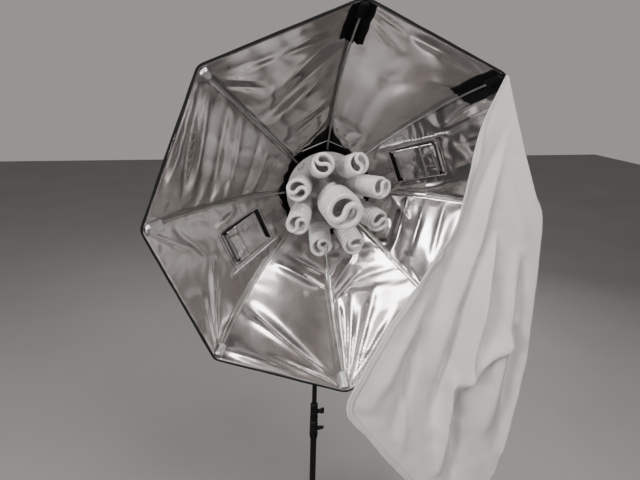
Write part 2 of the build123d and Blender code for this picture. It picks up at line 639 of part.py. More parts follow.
with BuildPart(at_reach(ring_back)) as plate_rivets:
    with BuildSketch(at_reach(ring_back)):
        with PolarLocations(RIVET_CIRCLE, PANELS):
            Circle(SCREW_RADIUS)
    extrude(amount=PLATE_REACH - ring_back)
    with BuildSketch(at_reach(PLATE_REACH)):
        with PolarLocations(RIVET_CIRCLE, PANELS):
            Circle(SCREW_RADIUS + 1.5)
    extrude(amount=1.2)
save(plate_rivets, "plate_rivets")

# ---------------------------------------------------------------- lamps
CAVITY_RADIUS = CAP_RADIUS + 0.2
CAVITY_FLOOR = 5.0
CAP_TIP = 2.0  # above the cavity's floor
CAP_RIM = 8.0  # in front of the plate
all_lamp_planes = [centre_lamp_plane] + lamp_planes
with BuildPart() as lamp_sockets:
    for plane in all_lamp_planes:
        with BuildSketch(plane.offset(-SOCKET_DEPTH)):
            Circle(SOCKET_RADIUS)
        extrude(amount=SOCKET_DEPTH + SOCKET_RISE)
        with BuildSketch(plane.offset(CAVITY_FLOOR - SOCKET_DEPTH)):
            Circle(CAVITY_RADIUS)
        extrude(amount=SOCKET_DEPTH + SOCKET_RISE - CAVITY_FLOOR, mode=Mode.SUBTRACT)
save(lamp_sockets, "lamp_sockets")

with BuildPart() as lamp_caps:
    for plane in all_lamp_planes:
        cap_bottom = CAVITY_FLOOR + CAP_TIP - SOCKET_DEPTH
        with BuildSketch(plane.offset(cap_bottom)):
            Circle(CAP_RADIUS - 7.0)
        extrude(amount=3.0)
        with BuildSketch(plane.offset(cap_bottom + 3.0)):
            Circle(CAP_RADIUS)
        extrude(amount=CAP_RIM - cap_bottom - 3.0)
save(lamp_caps, "lamp_caps")


def lamp_base(planes, neck_radius, body_radius, top):
    """The plastic ballast housing between a lamp's screw cap and its tube, one on each plane."""
    neck_start = CAP_RIM
    shoulder = SOCKET_RISE + 12.0
    with BuildPart() as base:
        for plane in planes:
            with BuildSketch(plane.offset(neck_start)):
                Circle(CAP_RADIUS - 0.6)
            extrude(amount=SOCKET_RISE + 1.0 - neck_start)
            with BuildSketch(plane.offset(SOCKET_RISE + 1.0)) as neck:
                Circle(neck_radius)
            with BuildSketch(plane.offset(shoulder)) as body:
                Circle(body_radius)
            loft([neck.sketch.face(), body.sketch.face()])
            with BuildSketch(plane.offset(shoulder)):
                Circle(body_radius)
            extrude(amount=top - shoulder)
    return base


save(lamp_base([centre_lamp_plane], 22.0, 33.0, CENTRE_BALLAST), "centre_lamp_base")
save(lamp_base(lamp_planes, 18.0, 24.5, OUTER_BALLAST), "outer_lamp_bases")


def coil_point(turn, radius, spacing, turns, dive):
    """A point of one strand of a two-strand coil, turn counted in full turns from its top."""
    angle = 2 * math.pi * turn
    height = -2 * spacing * turn
    lead_in = 0.16
    from_foot = turns - turn
    if from_foot < lead_in:
        height -= dive * (1 - from_foot / lead_in) ** 2
    return (radius * math.cos(angle), -radius * math.sin(angle), height)


def coil_path(radius, spacing, rings, dive):
    """A two-strand coil joined at its top by an S-shaped bridge, its top at height 0.

    Points run up one strand, through the bridge's two half circles, and down the other strand.
    """
    turns = rings / 2
    steps_per_turn = 14
    steps = round(turns * steps_per_turn)
    first = [coil_point(turns * (steps - n) / steps, radius, spacing, turns, dive) for n in range(steps + 1)]
    crown = spacing / 4
    bridge = []
    for n in range(1, 6):
        swept = math.pi * n / 6
        height = crown * (1 - (1 - n / 6) ** 2)
        x = radius / 2 * (1 + math.cos(swept))
        bridge.append((x, radius / 2 * math.sin(swept), height))
    half = first + bridge
    other_half = [(-x, -y, z) for x, y, z in reversed(half)]
    return half + [(0, 0, crown)] + other_half


def lamp_tubes(planes, coil, base_top, dive):
    """Spiral glass tubes standing on their bases, one on each plane, as a group of separate solids."""
    radius, tube_radius, spacing, rings = coil
    coil_top = base_top + dive / 2 + spacing * rings
    with BuildPart() as one_tube:
        with BuildLine() as path:
            Spline(*[(x, y, z + coil_top) for x, y, z in coil_path(radius, spacing, rings, dive)])
        with BuildSketch(Plane(origin=path.line @ 0, z_dir=path.line % 0)):
            Circle(tube_radius)
        sweep(path=path.line)
    return Compound(children=[plane.location * one_tube.part for plane in planes])


def save_group(group, name):
    """Labels a group of equal solids and writes its STEP."""
    group.label = name
    export_step(group, f"parts/{name}.step")


save_group(lamp_tubes([centre_lamp_plane], CENTRE_COIL, CENTRE_BALLAST, 14.0), "centre_lamp_tube")
save_group(lamp_tubes(lamp_planes, OUTER_COIL, OUTER_BALLAST, 9.0), "outer_lamp_tubes")

# ---------------------------------------------------------------- wiring, inlet and switches
LOOM_CIRCLE = 54.0
LOOM_REACH = 55.0
LOOM_RADIUS = 3.0
WIRE_RADIUS = 2.0
BLOCK_SIZE = (44.0, 18.0, 12.0)
BLOCK_REACH = 34.0
block_front = BLOCK_REACH + BLOCK_SIZE[2]
with BuildPart(at_reach(BLOCK_REACH)) as terminal_block:
    Box(*BLOCK_SIZE, align=(Align.CENTER, Align.CENTER, Align.MIN))
    with BuildSketch(at_reach(BLOCK_REACH + BLOCK_SIZE[2] / 2)):
        with GridLocations(10.0, 12.0, 4, 2):
            Circle(2.6)
    extrude(amount=BLOCK_SIZE[2] / 2, mode=Mode.SUBTRACT)
save(terminal_block, "terminal_block")

with BuildPart(at_reach(LOOM_REACH)) as wiring_loom:
    Torus(LOOM_CIRCLE, LOOM_RADIUS)
    with BuildSketch(at_reach(block_front)):
        Circle(WIRE_RADIUS)
    extrude(amount=PLATE_REACH - SOCKET_DEPTH - block_front)
    with BuildSketch(Plane.YZ):
        with Locations((-LOOM_REACH, AXIS_HEIGHT)):
            Circle(WIRE_RADIUS)
    extrude(amount=LOOM_CIRCLE, both=True)
    for plane in lamp_planes:
        with BuildSketch(plane.offset(-SOCKET_DEPTH)):
            Circle(WIRE_RADIUS)
        extrude(amount=-(SOCKET_DEPTH / 2))
save(wiring_loom, "wiring_loom")

INLET_DEPTH = 20.0
INLET_WALL = 1.8
INLET_FLANGE = (38.0, 27.0, 2.0)
inlet_centre = (0, INLET_ROW)
PRONG_SPACING = 7.0
with BuildPart(at_reach(HOUSING_BACK)) as power_inlet:
    with BuildSketch(at_reach(HOUSING_BACK)):
        with Locations(inlet_centre):
            RectangleRounded(INLET_FLANGE[0], INLET_FLANGE[1], 3.0)
    extrude(amount=-INLET_FLANGE[2])
    with BuildSketch(at_reach(HOUSING_BACK)):
        with Locations(inlet_centre):
            Rectangle(*INLET_OPENING)
    extrude(amount=INLET_DEPTH)
    with BuildSketch(at_reach(HOUSING_BACK - INLET_FLANGE[2])):
        with Locations(inlet_centre):
            Rectangle(INLET_OPENING[0] - 2 * INLET_WALL, INLET_OPENING[1] - 2 * INLET_WALL)
    extrude(amount=INLET_DEPTH, mode=Mode.SUBTRACT)
    with BuildSketch(at_reach(HOUSING_BACK + 4.0)):
        with Locations(inlet_centre):
            with Locations((-PRONG_SPACING, -2.0), (0, 3.0), (PRONG_SPACING, -2.0)):
                Rectangle(2.0, 4.0)
    extrude(amount=INLET_DEPTH - 5.0)
save(power_inlet, "power_inlet")

SWITCH_DEPTH = 18.0
SWITCH_BEZEL = (24.0, 18.0, 1.5)
SWITCH_WALL = 1.4
ROCKER_SIZE = (15.0, 10.4)  # along its travel, along its pivot
ROCKER_DEPTH = (4.5, 4.0)  # proud of the cover, inside it
ROCKER_REST = 6.0  # degrees it leans when off
with BuildPart(at_reach(HOUSING_BACK)) as switch_housings:
    with BuildSketch(at_reach(HOUSING_BACK)):
        with Locations(*switch_spots):
            Rectangle(SWITCH_BEZEL[0], SWITCH_BEZEL[1])
    extrude(amount=-SWITCH_BEZEL[2])
    with BuildSketch(at_reach(HOUSING_BACK)):
        with Locations(*switch_spots):
            Rectangle(*SWITCH_OPENING)
    extrude(amount=SWITCH_DEPTH)
    with BuildSketch(at_reach(HOUSING_BACK - SWITCH_BEZEL[2])):
        with Locations(*switch_spots):
            Rectangle(SWITCH_OPENING[0] - 2 * SWITCH_WALL, SWITCH_OPENING[1] - 2 * SWITCH_WALL)
    extrude(amount=SWITCH_DEPTH, mode=Mode.SUBTRACT)
save(switch_housings, "switch_housings")

for number, spot in enumerate(switch_spots, start=1):
    pivot = at_reach(HOUSING_BACK).location * Location((spot[0], spot[1], 0), (0, ROCKER_REST, 0))
    with BuildPart(Plane(pivot)) as rocker:
        with BuildSketch(Plane(pivot * Location((0, 0, 0), (90, 0, 0)))):
            with BuildLine():
                half = ROCKER_SIZE[0] / 2
                Polyline((half, ROCKER_DEPTH[1]), (-half, ROCKER_DEPTH[1]), (-half, -ROCKER_DEPTH[0]))
                ThreePointArc(
                    (-half, -ROCKER_DEPTH[0]), (0, 1.0 - ROCKER_DEPTH[0]), (half, -ROCKER_DEPTH[0])
                )
                Line((half, -ROCKER_DEPTH[0]), (half, ROCKER_DEPTH[1]))
            make_face()
        extrude(amount=ROCKER_SIZE[1] / 2, both=True)
    save(rocker, f"rocker_{number}")

# ================================================================ SOFTBOX


def bowed(start, end, bow):
    """The middle point of an arc that bows outward and back by a given height over its chord."""
    run, rise = end[0] - start[0], end[1] - start[1]
    chord = math.hypot(run, rise)
    return ((start[0] + end[0]) / 2 + bow * rise / chord, (start[1] + end[1]) / 2 - bow * run / chord)


rib_middle = bowed(RIB_ROOT, RIB_TIP, RIB_BOW)


def rib_end(plane, at_tip):
    """Square across a rod at one end: its z runs along the rod, towards the tip."""
    with BuildLine(plane) as path:
        ThreePointArc(RIB_ROOT, rib_middle, RIB_TIP)
    place = 1 if at_tip else 0
    return Plane(origin=path.line @ place, z_dir=path.line % place)


with BuildPart() as ribs:
    for plane in rib_planes:
        with BuildLine(plane) as rod_line:
            ThreePointArc(RIB_ROOT, rib_middle, RIB_TIP)
        with BuildSketch(rib_end(plane, False)):
            Circle(RIB_RADIUS)
        sweep(path=rod_line.line)
save(ribs, "ribs")

RIB_SOCKET_RADIUS = 4.2
RIB_SOCKET_GRIP = 7.0
RIB_SOCKET_TAIL = 8.0
with BuildPart() as rib_sockets:
    for plane in rib_planes:
        root = rib_end(plane, False)
        with BuildSketch(root.offset(-RIB_SOCKET_TAIL)):
            Circle(RIB_SOCKET_RADIUS)
        extrude(amount=RIB_SOCKET_TAIL + RIB_SOCKET_GRIP)
        with BuildSketch(root):
            Circle(RIB_RADIUS + 0.1)
        extrude(amount=RIB_SOCKET_GRIP, mode=Mode.SUBTRACT)
    with BuildSketch(at_reach(DRUM_BACK)):
        Circle(HOUSING_RADIUS)
    extrude(amount=ring_back - DRUM_BACK, mode=Mode.SUBTRACT)
    with BuildSketch(at_reach(ring_back)):
        Circle(RING_RADII[1])
    extrude(amount=RING_THICKNESS, mode=Mode.SUBTRACT)
    with BuildSketch(at_reach(plate_back)):
        Circle(PLATE_RADIUS + 0.3)
    extrude(amount=SOCKET_RISE, mode=Mode.SUBTRACT)
save(rib_sockets, "rib_sockets")

panel_scale = math.cos(math.radians(HALF_STEP))
shell_rim = (RIM_RADIUS * panel_scale, RIM_REACH)
shell_hole = (FABRIC_HOLE[0] * panel_scale, FABRIC_HOLE[1])


def one_panel(start, end, bow, thickness):
    """One gore of an octagonal shell, its inner face bowed from start to end in the (distance, reach) plane."""
    outer_start = (start[0] + thickness, start[1] - thickness)
    outer_end = (end[0] + thickness, end[1])
    with BuildPart() as panel:
        with BuildSketch(Plane.XZ):
            with BuildLine():
                ThreePointArc(start, bowed(start, end, bow), end)
                Line(end, outer_end)
                ThreePointArc(outer_end, bowed(outer_end, outer_start, -bow), outer_start)
                Line(outer_start, start)
            make_face()
        extrude(amount=RIM_RADIUS, both=True)
        with BuildSketch(Plane.XY):
            with BuildLine():
                spread = RIM_RADIUS * 2 * math.tan(math.radians(HALF_STEP))
                Polyline((0, 0), (RIM_RADIUS * 2, spread), (RIM_RADIUS * 2, -spread), close=True)
            make_face()
        extrude(amount=RIM_REACH * 2, mode=Mode.INTERSECT)
    return panel.part


fabric_panel = one_panel(shell_hole, shell_rim, FABRIC_BOW, FABRIC_THICKNESS)
window_angle = 90.0 - WINDOW_CLOCK
with BuildPart(optical) as fabric_shell:
    with PolarLocations(0, PANELS, start_angle=HALF_STEP):
        add(fabric_panel)
    with BuildSketch(optical):
        with PolarLocations((WINDOW[0] + WINDOW[1]) / 2, 2, start_angle=window_angle):
            Rectangle(WINDOW[1] - WINDOW[0], WINDOW[2])
    extrude(amount=RIM_REACH, mode=Mode.SUBTRACT)
save(fabric_shell, "fabric_shell")

SKIRT_REAR = (HOUSING_RADIUS + 1.0, 50.0)
skirt_front = (shell_hole[0] - 1.0, shell_hole[1] - 2.0)
skirt_panel = one_panel(SKIRT_REAR, skirt_front, 0.5, FABRIC_THICKNESS)
with BuildPart(optical) as rear_skirt:
    with PolarLocations(0, PANELS, start_angle=HALF_STEP):
        add(skirt_panel)
save(rear_skirt, "rear_skirt")

BINDING = (7.0, 5.0)  # outward thickness, depth
BINDING_LIP = 0.5
binding_inner = RIM_RADIUS + (FABRIC_THICKNESS + BINDING_LIP) / panel_scale
with BuildPart(at_reach(RIM_REACH - BINDING[1])) as rim_binding:
    with BuildSketch(at_reach(RIM_REACH - BINDING[1])):
        RegularPolygon(binding_inner + BINDING[0], PANELS)
        RegularPolygon(binding_inner, PANELS, mode=Mode.SUBTRACT)
    extrude(amount=BINDING[1] + 1.0)
save(rim_binding, "rim_binding")

POCKET_LENGTH = 42.0
POCKET_WALL = 1.2
POCKET_ROOM = 1.4  # around the rod
with BuildPart() as corner_pockets:
    for plane in rib_planes[3:] + rib_planes[:1]:
        mouth = rib_end(plane, True).offset(-POCKET_LENGTH)
        with BuildSketch(mouth):
            Circle(RIB_RADIUS + POCKET_ROOM + POCKET_WALL)
        extrude(amount=POCKET_LENGTH + 1.5)
        with BuildSketch(mouth):
            Circle(RIB_RADIUS + POCKET_ROOM)
        extrude(amount=POCKET_LENGTH + 0.4, mode=Mode.SUBTRACT)
save(corner_pockets, "corner_pockets")

TAB_LENGTH = 90.0
TAB_WIDTH = 50.0
TAB_GAP = 0.8
TAB_THICKNESS = 1.2
tab_offset = TAB_GAP + TAB_THICKNESS
tab_hole = (shell_hole[0] - tab_offset * 0.5, shell_hole[1] + tab_offset)
tab_rim = (shell_rim[0] - tab_offset, shell_rim[1])
tab_panel = one_panel(tab_hole, tab_rim, FABRIC_BOW, TAB_THICKNESS)
with BuildPart(optical) as corner_tabs:
    with PolarLocations(0, PANELS, start_angle=HALF_STEP):
        add(tab_panel)
    with BuildSketch(optical):
        with PolarLocations(RIM_RADIUS - TAB_LENGTH * 0.3, 2, start_angle=RIB_STEP, angular_range=2 * RIB_STEP):
            Rectangle(TAB_LENGTH, TAB_WIDTH)
    extrude(amount=RIM_REACH * 2, mode=Mode.INTERSECT)
save(corner_tabs, "corner_tabs")

# ---------------------------------------------------------------- window flaps
FLAP_INSET = 2.0
FLAP_LIFT = 2.0  # inside the panel's chord
FLAP_THICKNESS = 1.5


def shell_reach(distance):
    """Reach of the shell's inner face at a distance along a panel's middle."""
    chord = math.hypot(shell_rim[0] - shell_hole[0], shell_rim[1] - shell_hole[1])
    radius = (chord**2 / 4 + FABRIC_BOW**2) / (2 * FABRIC_BOW)
    crest = bowed(shell_hole, shell_rim, FABRIC_BOW)
    outward = ((shell_rim[1] - shell_hole[1]) / chord, -(shell_rim[0] - shell_hole[0]) / chord)
    centre = (crest[0] - outward[0] * radius, crest[1] - outward[1] * radius)
    return centre[1] - math.sqrt(radius**2 - (distance - centre[0]) ** 2)


flap_inner = (WINDOW[0] + FLAP_INSET, shell_reach(WINDOW[0]))
flap_outer = (WINDOW[1] - FLAP_INSET, shell_reach(WINDOW[1]))
flap_length = math.hypot(flap_outer[0] - flap_inner[0], flap_outer[1] - flap_inner[1])
flap_slope = math.degrees(math.atan2(flap_outer[1] - flap_inner[1], flap_outer[0] - flap_inner[0]))
flap_middle = ((flap_inner[0] + flap_outer[0]) / 2, (flap_inner[1] + flap_outer[1]) / 2)
for side, panel_angle in (("right", window_angle), ("left", window_angle + 180.0)):
    panel_turn = optical.location * Location((0, 0, 0), (0, 0, panel_angle))
    on_chord = Plane(panel_turn * Location((flap_middle[0], 0, flap_middle[1]), (0, -flap_slope, 0)))
    with BuildPart() as window_flap:
        with BuildSketch(on_chord.offset(FLAP_LIFT)):
            RectangleRounded(flap_length, WINDOW[2] - 2 * FLAP_INSET, 3.0)
        extrude(amount=FLAP_THICKNESS)
    save(window_flap, f"window_flap_{side}")

# ---------------------------------------------------------------- front diffuser
# The sheet hangs from the right half of the rim, its left half let go and hanging down in front.
DIFFUSER_THICKNESS = 6.0
HANG = ((388.0, 335.0), (394.0, 150.0), (420.0, -50.0), (475.0, -350.0), (512.0, -760.0))  # (reach, rise)
TIP = (-25.0, -422.0)
HEM_END = (200.0, -715.0)
HEM_CORNER = (370.0, -684.0)
UPPER_CORNER = (RIM_RADIUS * math.sin(math.radians(RIB_STEP)), RIM_RADIUS * math.cos(math.radians(RIB_STEP)))
with BuildPart() as diffuser:
    with BuildSketch(Plane.YZ):
        with BuildLine():
            back = [(-reach, AXIS_HEIGHT + rise) for reach, rise in HANG]
            front = [(y - DIFFUSER_THICKNESS, z) for y, z in reversed(back)]
            Spline(*back)
            Line(back[-1], front[0])
            Spline(*front)
            Line(front[-1], back[0])
        make_face()
    extrude(amount=RIM_RADIUS * 1.2, both=True)
    with BuildSketch(optical):
        with BuildLine():
            Line(UPPER_CORNER, (RIM_RADIUS, 0))
            Spline((RIM_RADIUS, 0), (436, -300), (405, -560), HEM_CORNER)
            Spline(HEM_CORNER, (290, -742), HEM_END)
            Spline(HEM_END, (125, -632), (29, -507), TIP)
            Spline(TIP, (43, -272), (126, -139), (228, 4), (276, 221), UPPER_CORNER)
        make_face()
    extrude(amount=RIM_REACH * 2, mode=Mode.INTERSECT)
save(diffuser, "diffuser")
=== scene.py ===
"""Looks of the octagonal softbox and its stand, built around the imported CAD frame.

Design numbers are millimetres unless a name says otherwise; meshes are made in metres.
Angles round the lamp axis run counter-clockwise from +X, seen from the front.
"""

import json
import math

import bpy
import numpy as np
from mathutils import Matrix, Vector


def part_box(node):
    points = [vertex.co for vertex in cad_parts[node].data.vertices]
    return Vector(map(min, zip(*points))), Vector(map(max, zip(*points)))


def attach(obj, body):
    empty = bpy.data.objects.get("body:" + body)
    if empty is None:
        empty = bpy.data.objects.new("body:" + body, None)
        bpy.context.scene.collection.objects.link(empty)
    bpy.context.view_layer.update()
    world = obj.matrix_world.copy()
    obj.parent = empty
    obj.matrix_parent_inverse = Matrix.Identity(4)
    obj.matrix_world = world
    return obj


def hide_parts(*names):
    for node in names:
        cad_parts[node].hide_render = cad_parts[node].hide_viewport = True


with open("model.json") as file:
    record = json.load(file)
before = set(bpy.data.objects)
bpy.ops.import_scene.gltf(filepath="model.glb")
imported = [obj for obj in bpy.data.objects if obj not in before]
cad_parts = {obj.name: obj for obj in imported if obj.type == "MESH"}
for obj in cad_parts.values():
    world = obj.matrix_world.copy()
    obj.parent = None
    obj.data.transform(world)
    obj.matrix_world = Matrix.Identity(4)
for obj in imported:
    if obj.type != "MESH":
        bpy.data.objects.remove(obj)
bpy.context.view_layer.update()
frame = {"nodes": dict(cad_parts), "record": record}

# ---------------------------------------------------------------- measures taken from the frame
MM = 0.001
GORES = 8
STEP = math.radians(360.0 / GORES)
HALF = STEP / 2
TAN_HALF = math.tan(HALF)
COS_HALF = math.cos(HALF)
FABRIC = 1.5

plate_low, plate_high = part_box("lamp_plate")
shell_low, shell_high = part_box("fabric_shell")
AXIS = (plate_low.z + plate_high.z) / 2 / MM
PLATE_REACH = -plate_low.y / MM
RIM_REACH = -shell_low.y / MM
RIM_RADIUS = shell_high.x / MM - FABRIC / COS_HALF
HOLE_RADIUS = 141.0
HOLE_REACH = -shell_high.y / MM + FABRIC
BOW = 32.0
WINDOW_IN, WINDOW_OUT, WINDOW_HALF = 193.0, 297.0, 45.0
WINDOW_GORES = (0, 4)
TAB_RIBS = (1, 2)
POCKET_RIBS = (0, 3, 4, 5, 6, 7)


# ---------------------------------------------------------------- mesh helpers
def new_mesh(name, points, faces, materials, body=None, indices=None, replaces=None):
    """A smooth mesh object from points in millimetres, riding on a body.

    It can take several materials, chosen per face by index, and stand in for a CAD node, which it hides.
    """
    mesh = bpy.data.meshes.new(name)
    mesh.from_pydata([tuple(p) for p in np.asarray(points) * MM], [], [tuple(f) for f in faces])
    for item in materials if isinstance(materials, (list, tuple)) else [materials]:
        mesh.materials.append(item)
    if indices is not None:
        mesh.polygons.foreach_set("material_index", np.asarray(indices, np.int32))
    mesh.polygons.foreach_set("use_smooth", np.full(len(mesh.polygons), True))
    mesh.update()
    piece = bpy.data.objects.new(name, mesh)
    bpy.context.scene.collection.objects.link(piece)
    if body:
        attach(piece, body)
    if replaces:
        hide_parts(replaces)
    return piece


def cell(i, j, k, cols):
    """The face between two rows and two columns of a grid numbered row by row."""
    return i * cols + j, i * cols + k, (i + 1) * cols + k, (i + 1) * cols + j


def sheet_solid(front, back, mask=None, wrap=False):
    """Points and faces of a thin closed solid between two equal grids of points."""
    rows, cols = front.shape[:2]
    count = rows * cols
    span = cols if wrap else cols - 1
    if mask is None:
        mask = np.ones((rows - 1, span), bool)
    faces = []
    sides = []
    for i in range(rows - 1):
        for j in range(span):
            if not mask[i, j]:
                continue
            k = (j + 1) % cols
            a, b, c, d = cell(i, j, k, cols)
            faces.append((a, b, c, d))
            left, right = j - 1, j + 1
            if wrap:
                left, right = left % cols, right % cols
            if i == 0 or not mask[i - 1, j]:
                sides.append((b, a))
            if i == rows - 2 or not mask[i + 1, j]:
                sides.append((d, c))
            if (left < 0) or not mask[i, left]:
                sides.append((a, d))
            if (right >= span) or not mask[i, right]:
                sides.append((c, b))
    backs = [(d + count, c + count, b + count, a + count) for a, b, c, d in faces]
    walls = [(p, q, q + count, p + count) for p, q in sides]
    points = np.concatenate([front.reshape(-1, 3), back.reshape(-1, 3)])
    return drop_unused(points, faces + backs + walls) + (len(faces),)


def drop_unused(points, faces):
    """The same mesh without points that no face uses."""
    used = np.zeros(len(points), bool)
    used[[p for face in faces for p in face]] = True
    order = np.cumsum(used) - 1
    return points[used], [tuple(int(order[p]) for p in face) for face in faces]


def grid_normals(grid, wrap=False):
    """Unit normals of a grid of points."""
    across = np.roll(grid, -1, 1) - np.roll(grid, 1, 1)
    if not wrap:
        across = np.gradient(grid, axis=1)
    along = np.gradient(grid, axis=0)
    normal = np.cross(across, along)
    return normal / np.maximum(np.linalg.norm(normal, axis=-1, keepdims=True), 1e-9)


def ring_faces(rings, sides):
    """Faces of a closed skin over rings of points, with a flat cap at each end."""
    faces = []
    for i in range(rings - 1):
        for j in range(sides):
            faces.append(cell(i, j, (j + 1) % sides, sides))
    faces.append(tuple(reversed(range(sides))))
    last = (rings - 1) * sides
    faces.append(tuple(last + j for j in range(sides)))
    return faces


def loop_faces(rings, count, flip=False):
    """Faces of a roll that closes on itself both ways, as round a rim."""
    faces = []
    for i in range(rings):
        for j in range(count):
            k, m = (i + 1) % rings, (j + 1) % count
            a, b, c, d = i * count + j, i * count + m, k * count + m, k * count + j
            faces.append((a, d, c, b) if flip else (a, b, c, d))
    return faces


def tube_solid(path, radius, sides):
    """A round tube along an open path, closed at both ends. Radius may change along the path."""
    path = np.asarray(path, float)
    tangent = np.gradient(path, axis=0)
    tangent /= np.linalg.norm(tangent, axis=1, keepdims=True)
    frames = []
    side = np.cross(tangent[0], np.array((0.31, 0.17, 0.93)))
    side /= np.linalg.norm(side)
    for direction in tangent:
        side = side - direction * (side @ direction)
        side /= np.linalg.norm(side)
        frames.append(side)
    frames = np.array(frames)
    other = np.cross(tangent, frames)
    turn = np.linspace(0, 2 * math.pi, sides, endpoint=False)
    reach = np.broadcast_to(np.asarray(radius, float), (len(path),))[:, None, None]
    ring = frames[:, None] * np.cos(turn)[None, :, None] + other[:, None] * np.sin(turn)[None, :, None]
    points = (path[:, None] + reach * ring).reshape(-1, 3)
    return points, ring_faces(len(path), sides)


def join(parts):
    """One mesh from several (points, faces) pairs."""
    points, faces, offset = [], [], 0
    for part_points, part_faces in parts:
        points.append(part_points)
        faces.extend(tuple(offset + p for p in face) for face in part_faces)
        offset += len(part_points)
    return np.concatenate(points), faces


def smooth_noise(x, y, seed):
    """Smooth noise between -1 and 1 on a unit lattice."""
    lattice = np.random.RandomState(seed).uniform(-1, 1, (64, 64))
    x, y = np.asarray(x, float) + 1000, np.asarray(y, float) + 1000
    column, row = np.floor(x).astype(int), np.floor(y).astype(int)
    fx, fy = x - column, y - row
    fx = fx * fx * fx * (fx * (fx * 6 - 15) + 10)
    fy = fy * fy * fy * (fy * (fy * 6 - 15) + 10)
    corner = [[lattice[(row + b) % 64, (column + a) % 64] for a in (0, 1)] for b in (0, 1)]
    low = corner[0][0] * (1 - fx) + corner[0][1] * fx
    high = corner[1][0] * (1 - fx) + corner[1][1] * fx
    return low * (1 - fy) + high * fy


def line_noise(x, seed, row=0):
    """Smooth noise along one row of the lattice."""
    return smooth_noise(x, 0 * x + row, seed)


def bell(x, width):
    """1 at zero, falling off on both sides."""
    return np.exp(-((x / width) ** 2))


def soften(path, times):
    """Evens out a path in place, between its ends."""
    for _ in range(times):
        path[1:-1] = (path[:-2] + 2 * path[1:-1] + path[2:]) / 4


FRONT = np.array([0, -1.0, 0])


def round_axes(angle):
    """Unit vectors away from the lamp axis and round it."""
    c, s = math.cos(angle), math.sin(angle)
    return np.array([c, 0, s]), np.array([-s, 0, c])


def step_up(x, low, high):
    """0 below low, 1 above high, smooth between."""
    t = np.clip((x - low) / (high - low), 0, 1)
    return t * t * (3 - 2 * t)


# ---------------------------------------------------------------- materials
def math_node(tree, operation, *items):
    """The value of a maths node; each item is a number or another node's output."""
    node = tree.nodes.new("ShaderNodeMath")
    node.operation = operation
    for socket, item in zip(node.inputs, items):
        if isinstance(item, (int, float)):
            socket.default_value = item
        else:
            tree.links.new(item, socket)
    return node.outputs["Value"]


def mix_colours(tree, factor, first, second):
    """One colour or the other by a factor; each is a colour or another node's output."""
    mix = tree.nodes.new("ShaderNodeMix")
    mix.data_type = "RGBA"
    tree.links.new(factor, mix.inputs["Factor"])
    for name, item in (("A", first), ("B", second)):
        if isinstance(item, tuple):
            mix.inputs[name].default_value = item
        else:
            tree.links.new(item, mix.inputs[name])
    return mix.outputs["Result"]


def map_range(tree, value, low, high, low_out, high_out):
    """A value mapped from one range to another."""
    ramp = tree.nodes.new("ShaderNodeMapRange")
    ends = (("From Min", low), ("From Max", high), ("To Min", low_out), ("To Max", high_out))
    for socket, number in ends:
        ramp.inputs[socket].default_value = number
    tree.links.new(value, ramp.inputs["Value"])
    return ramp.outputs["Result"]


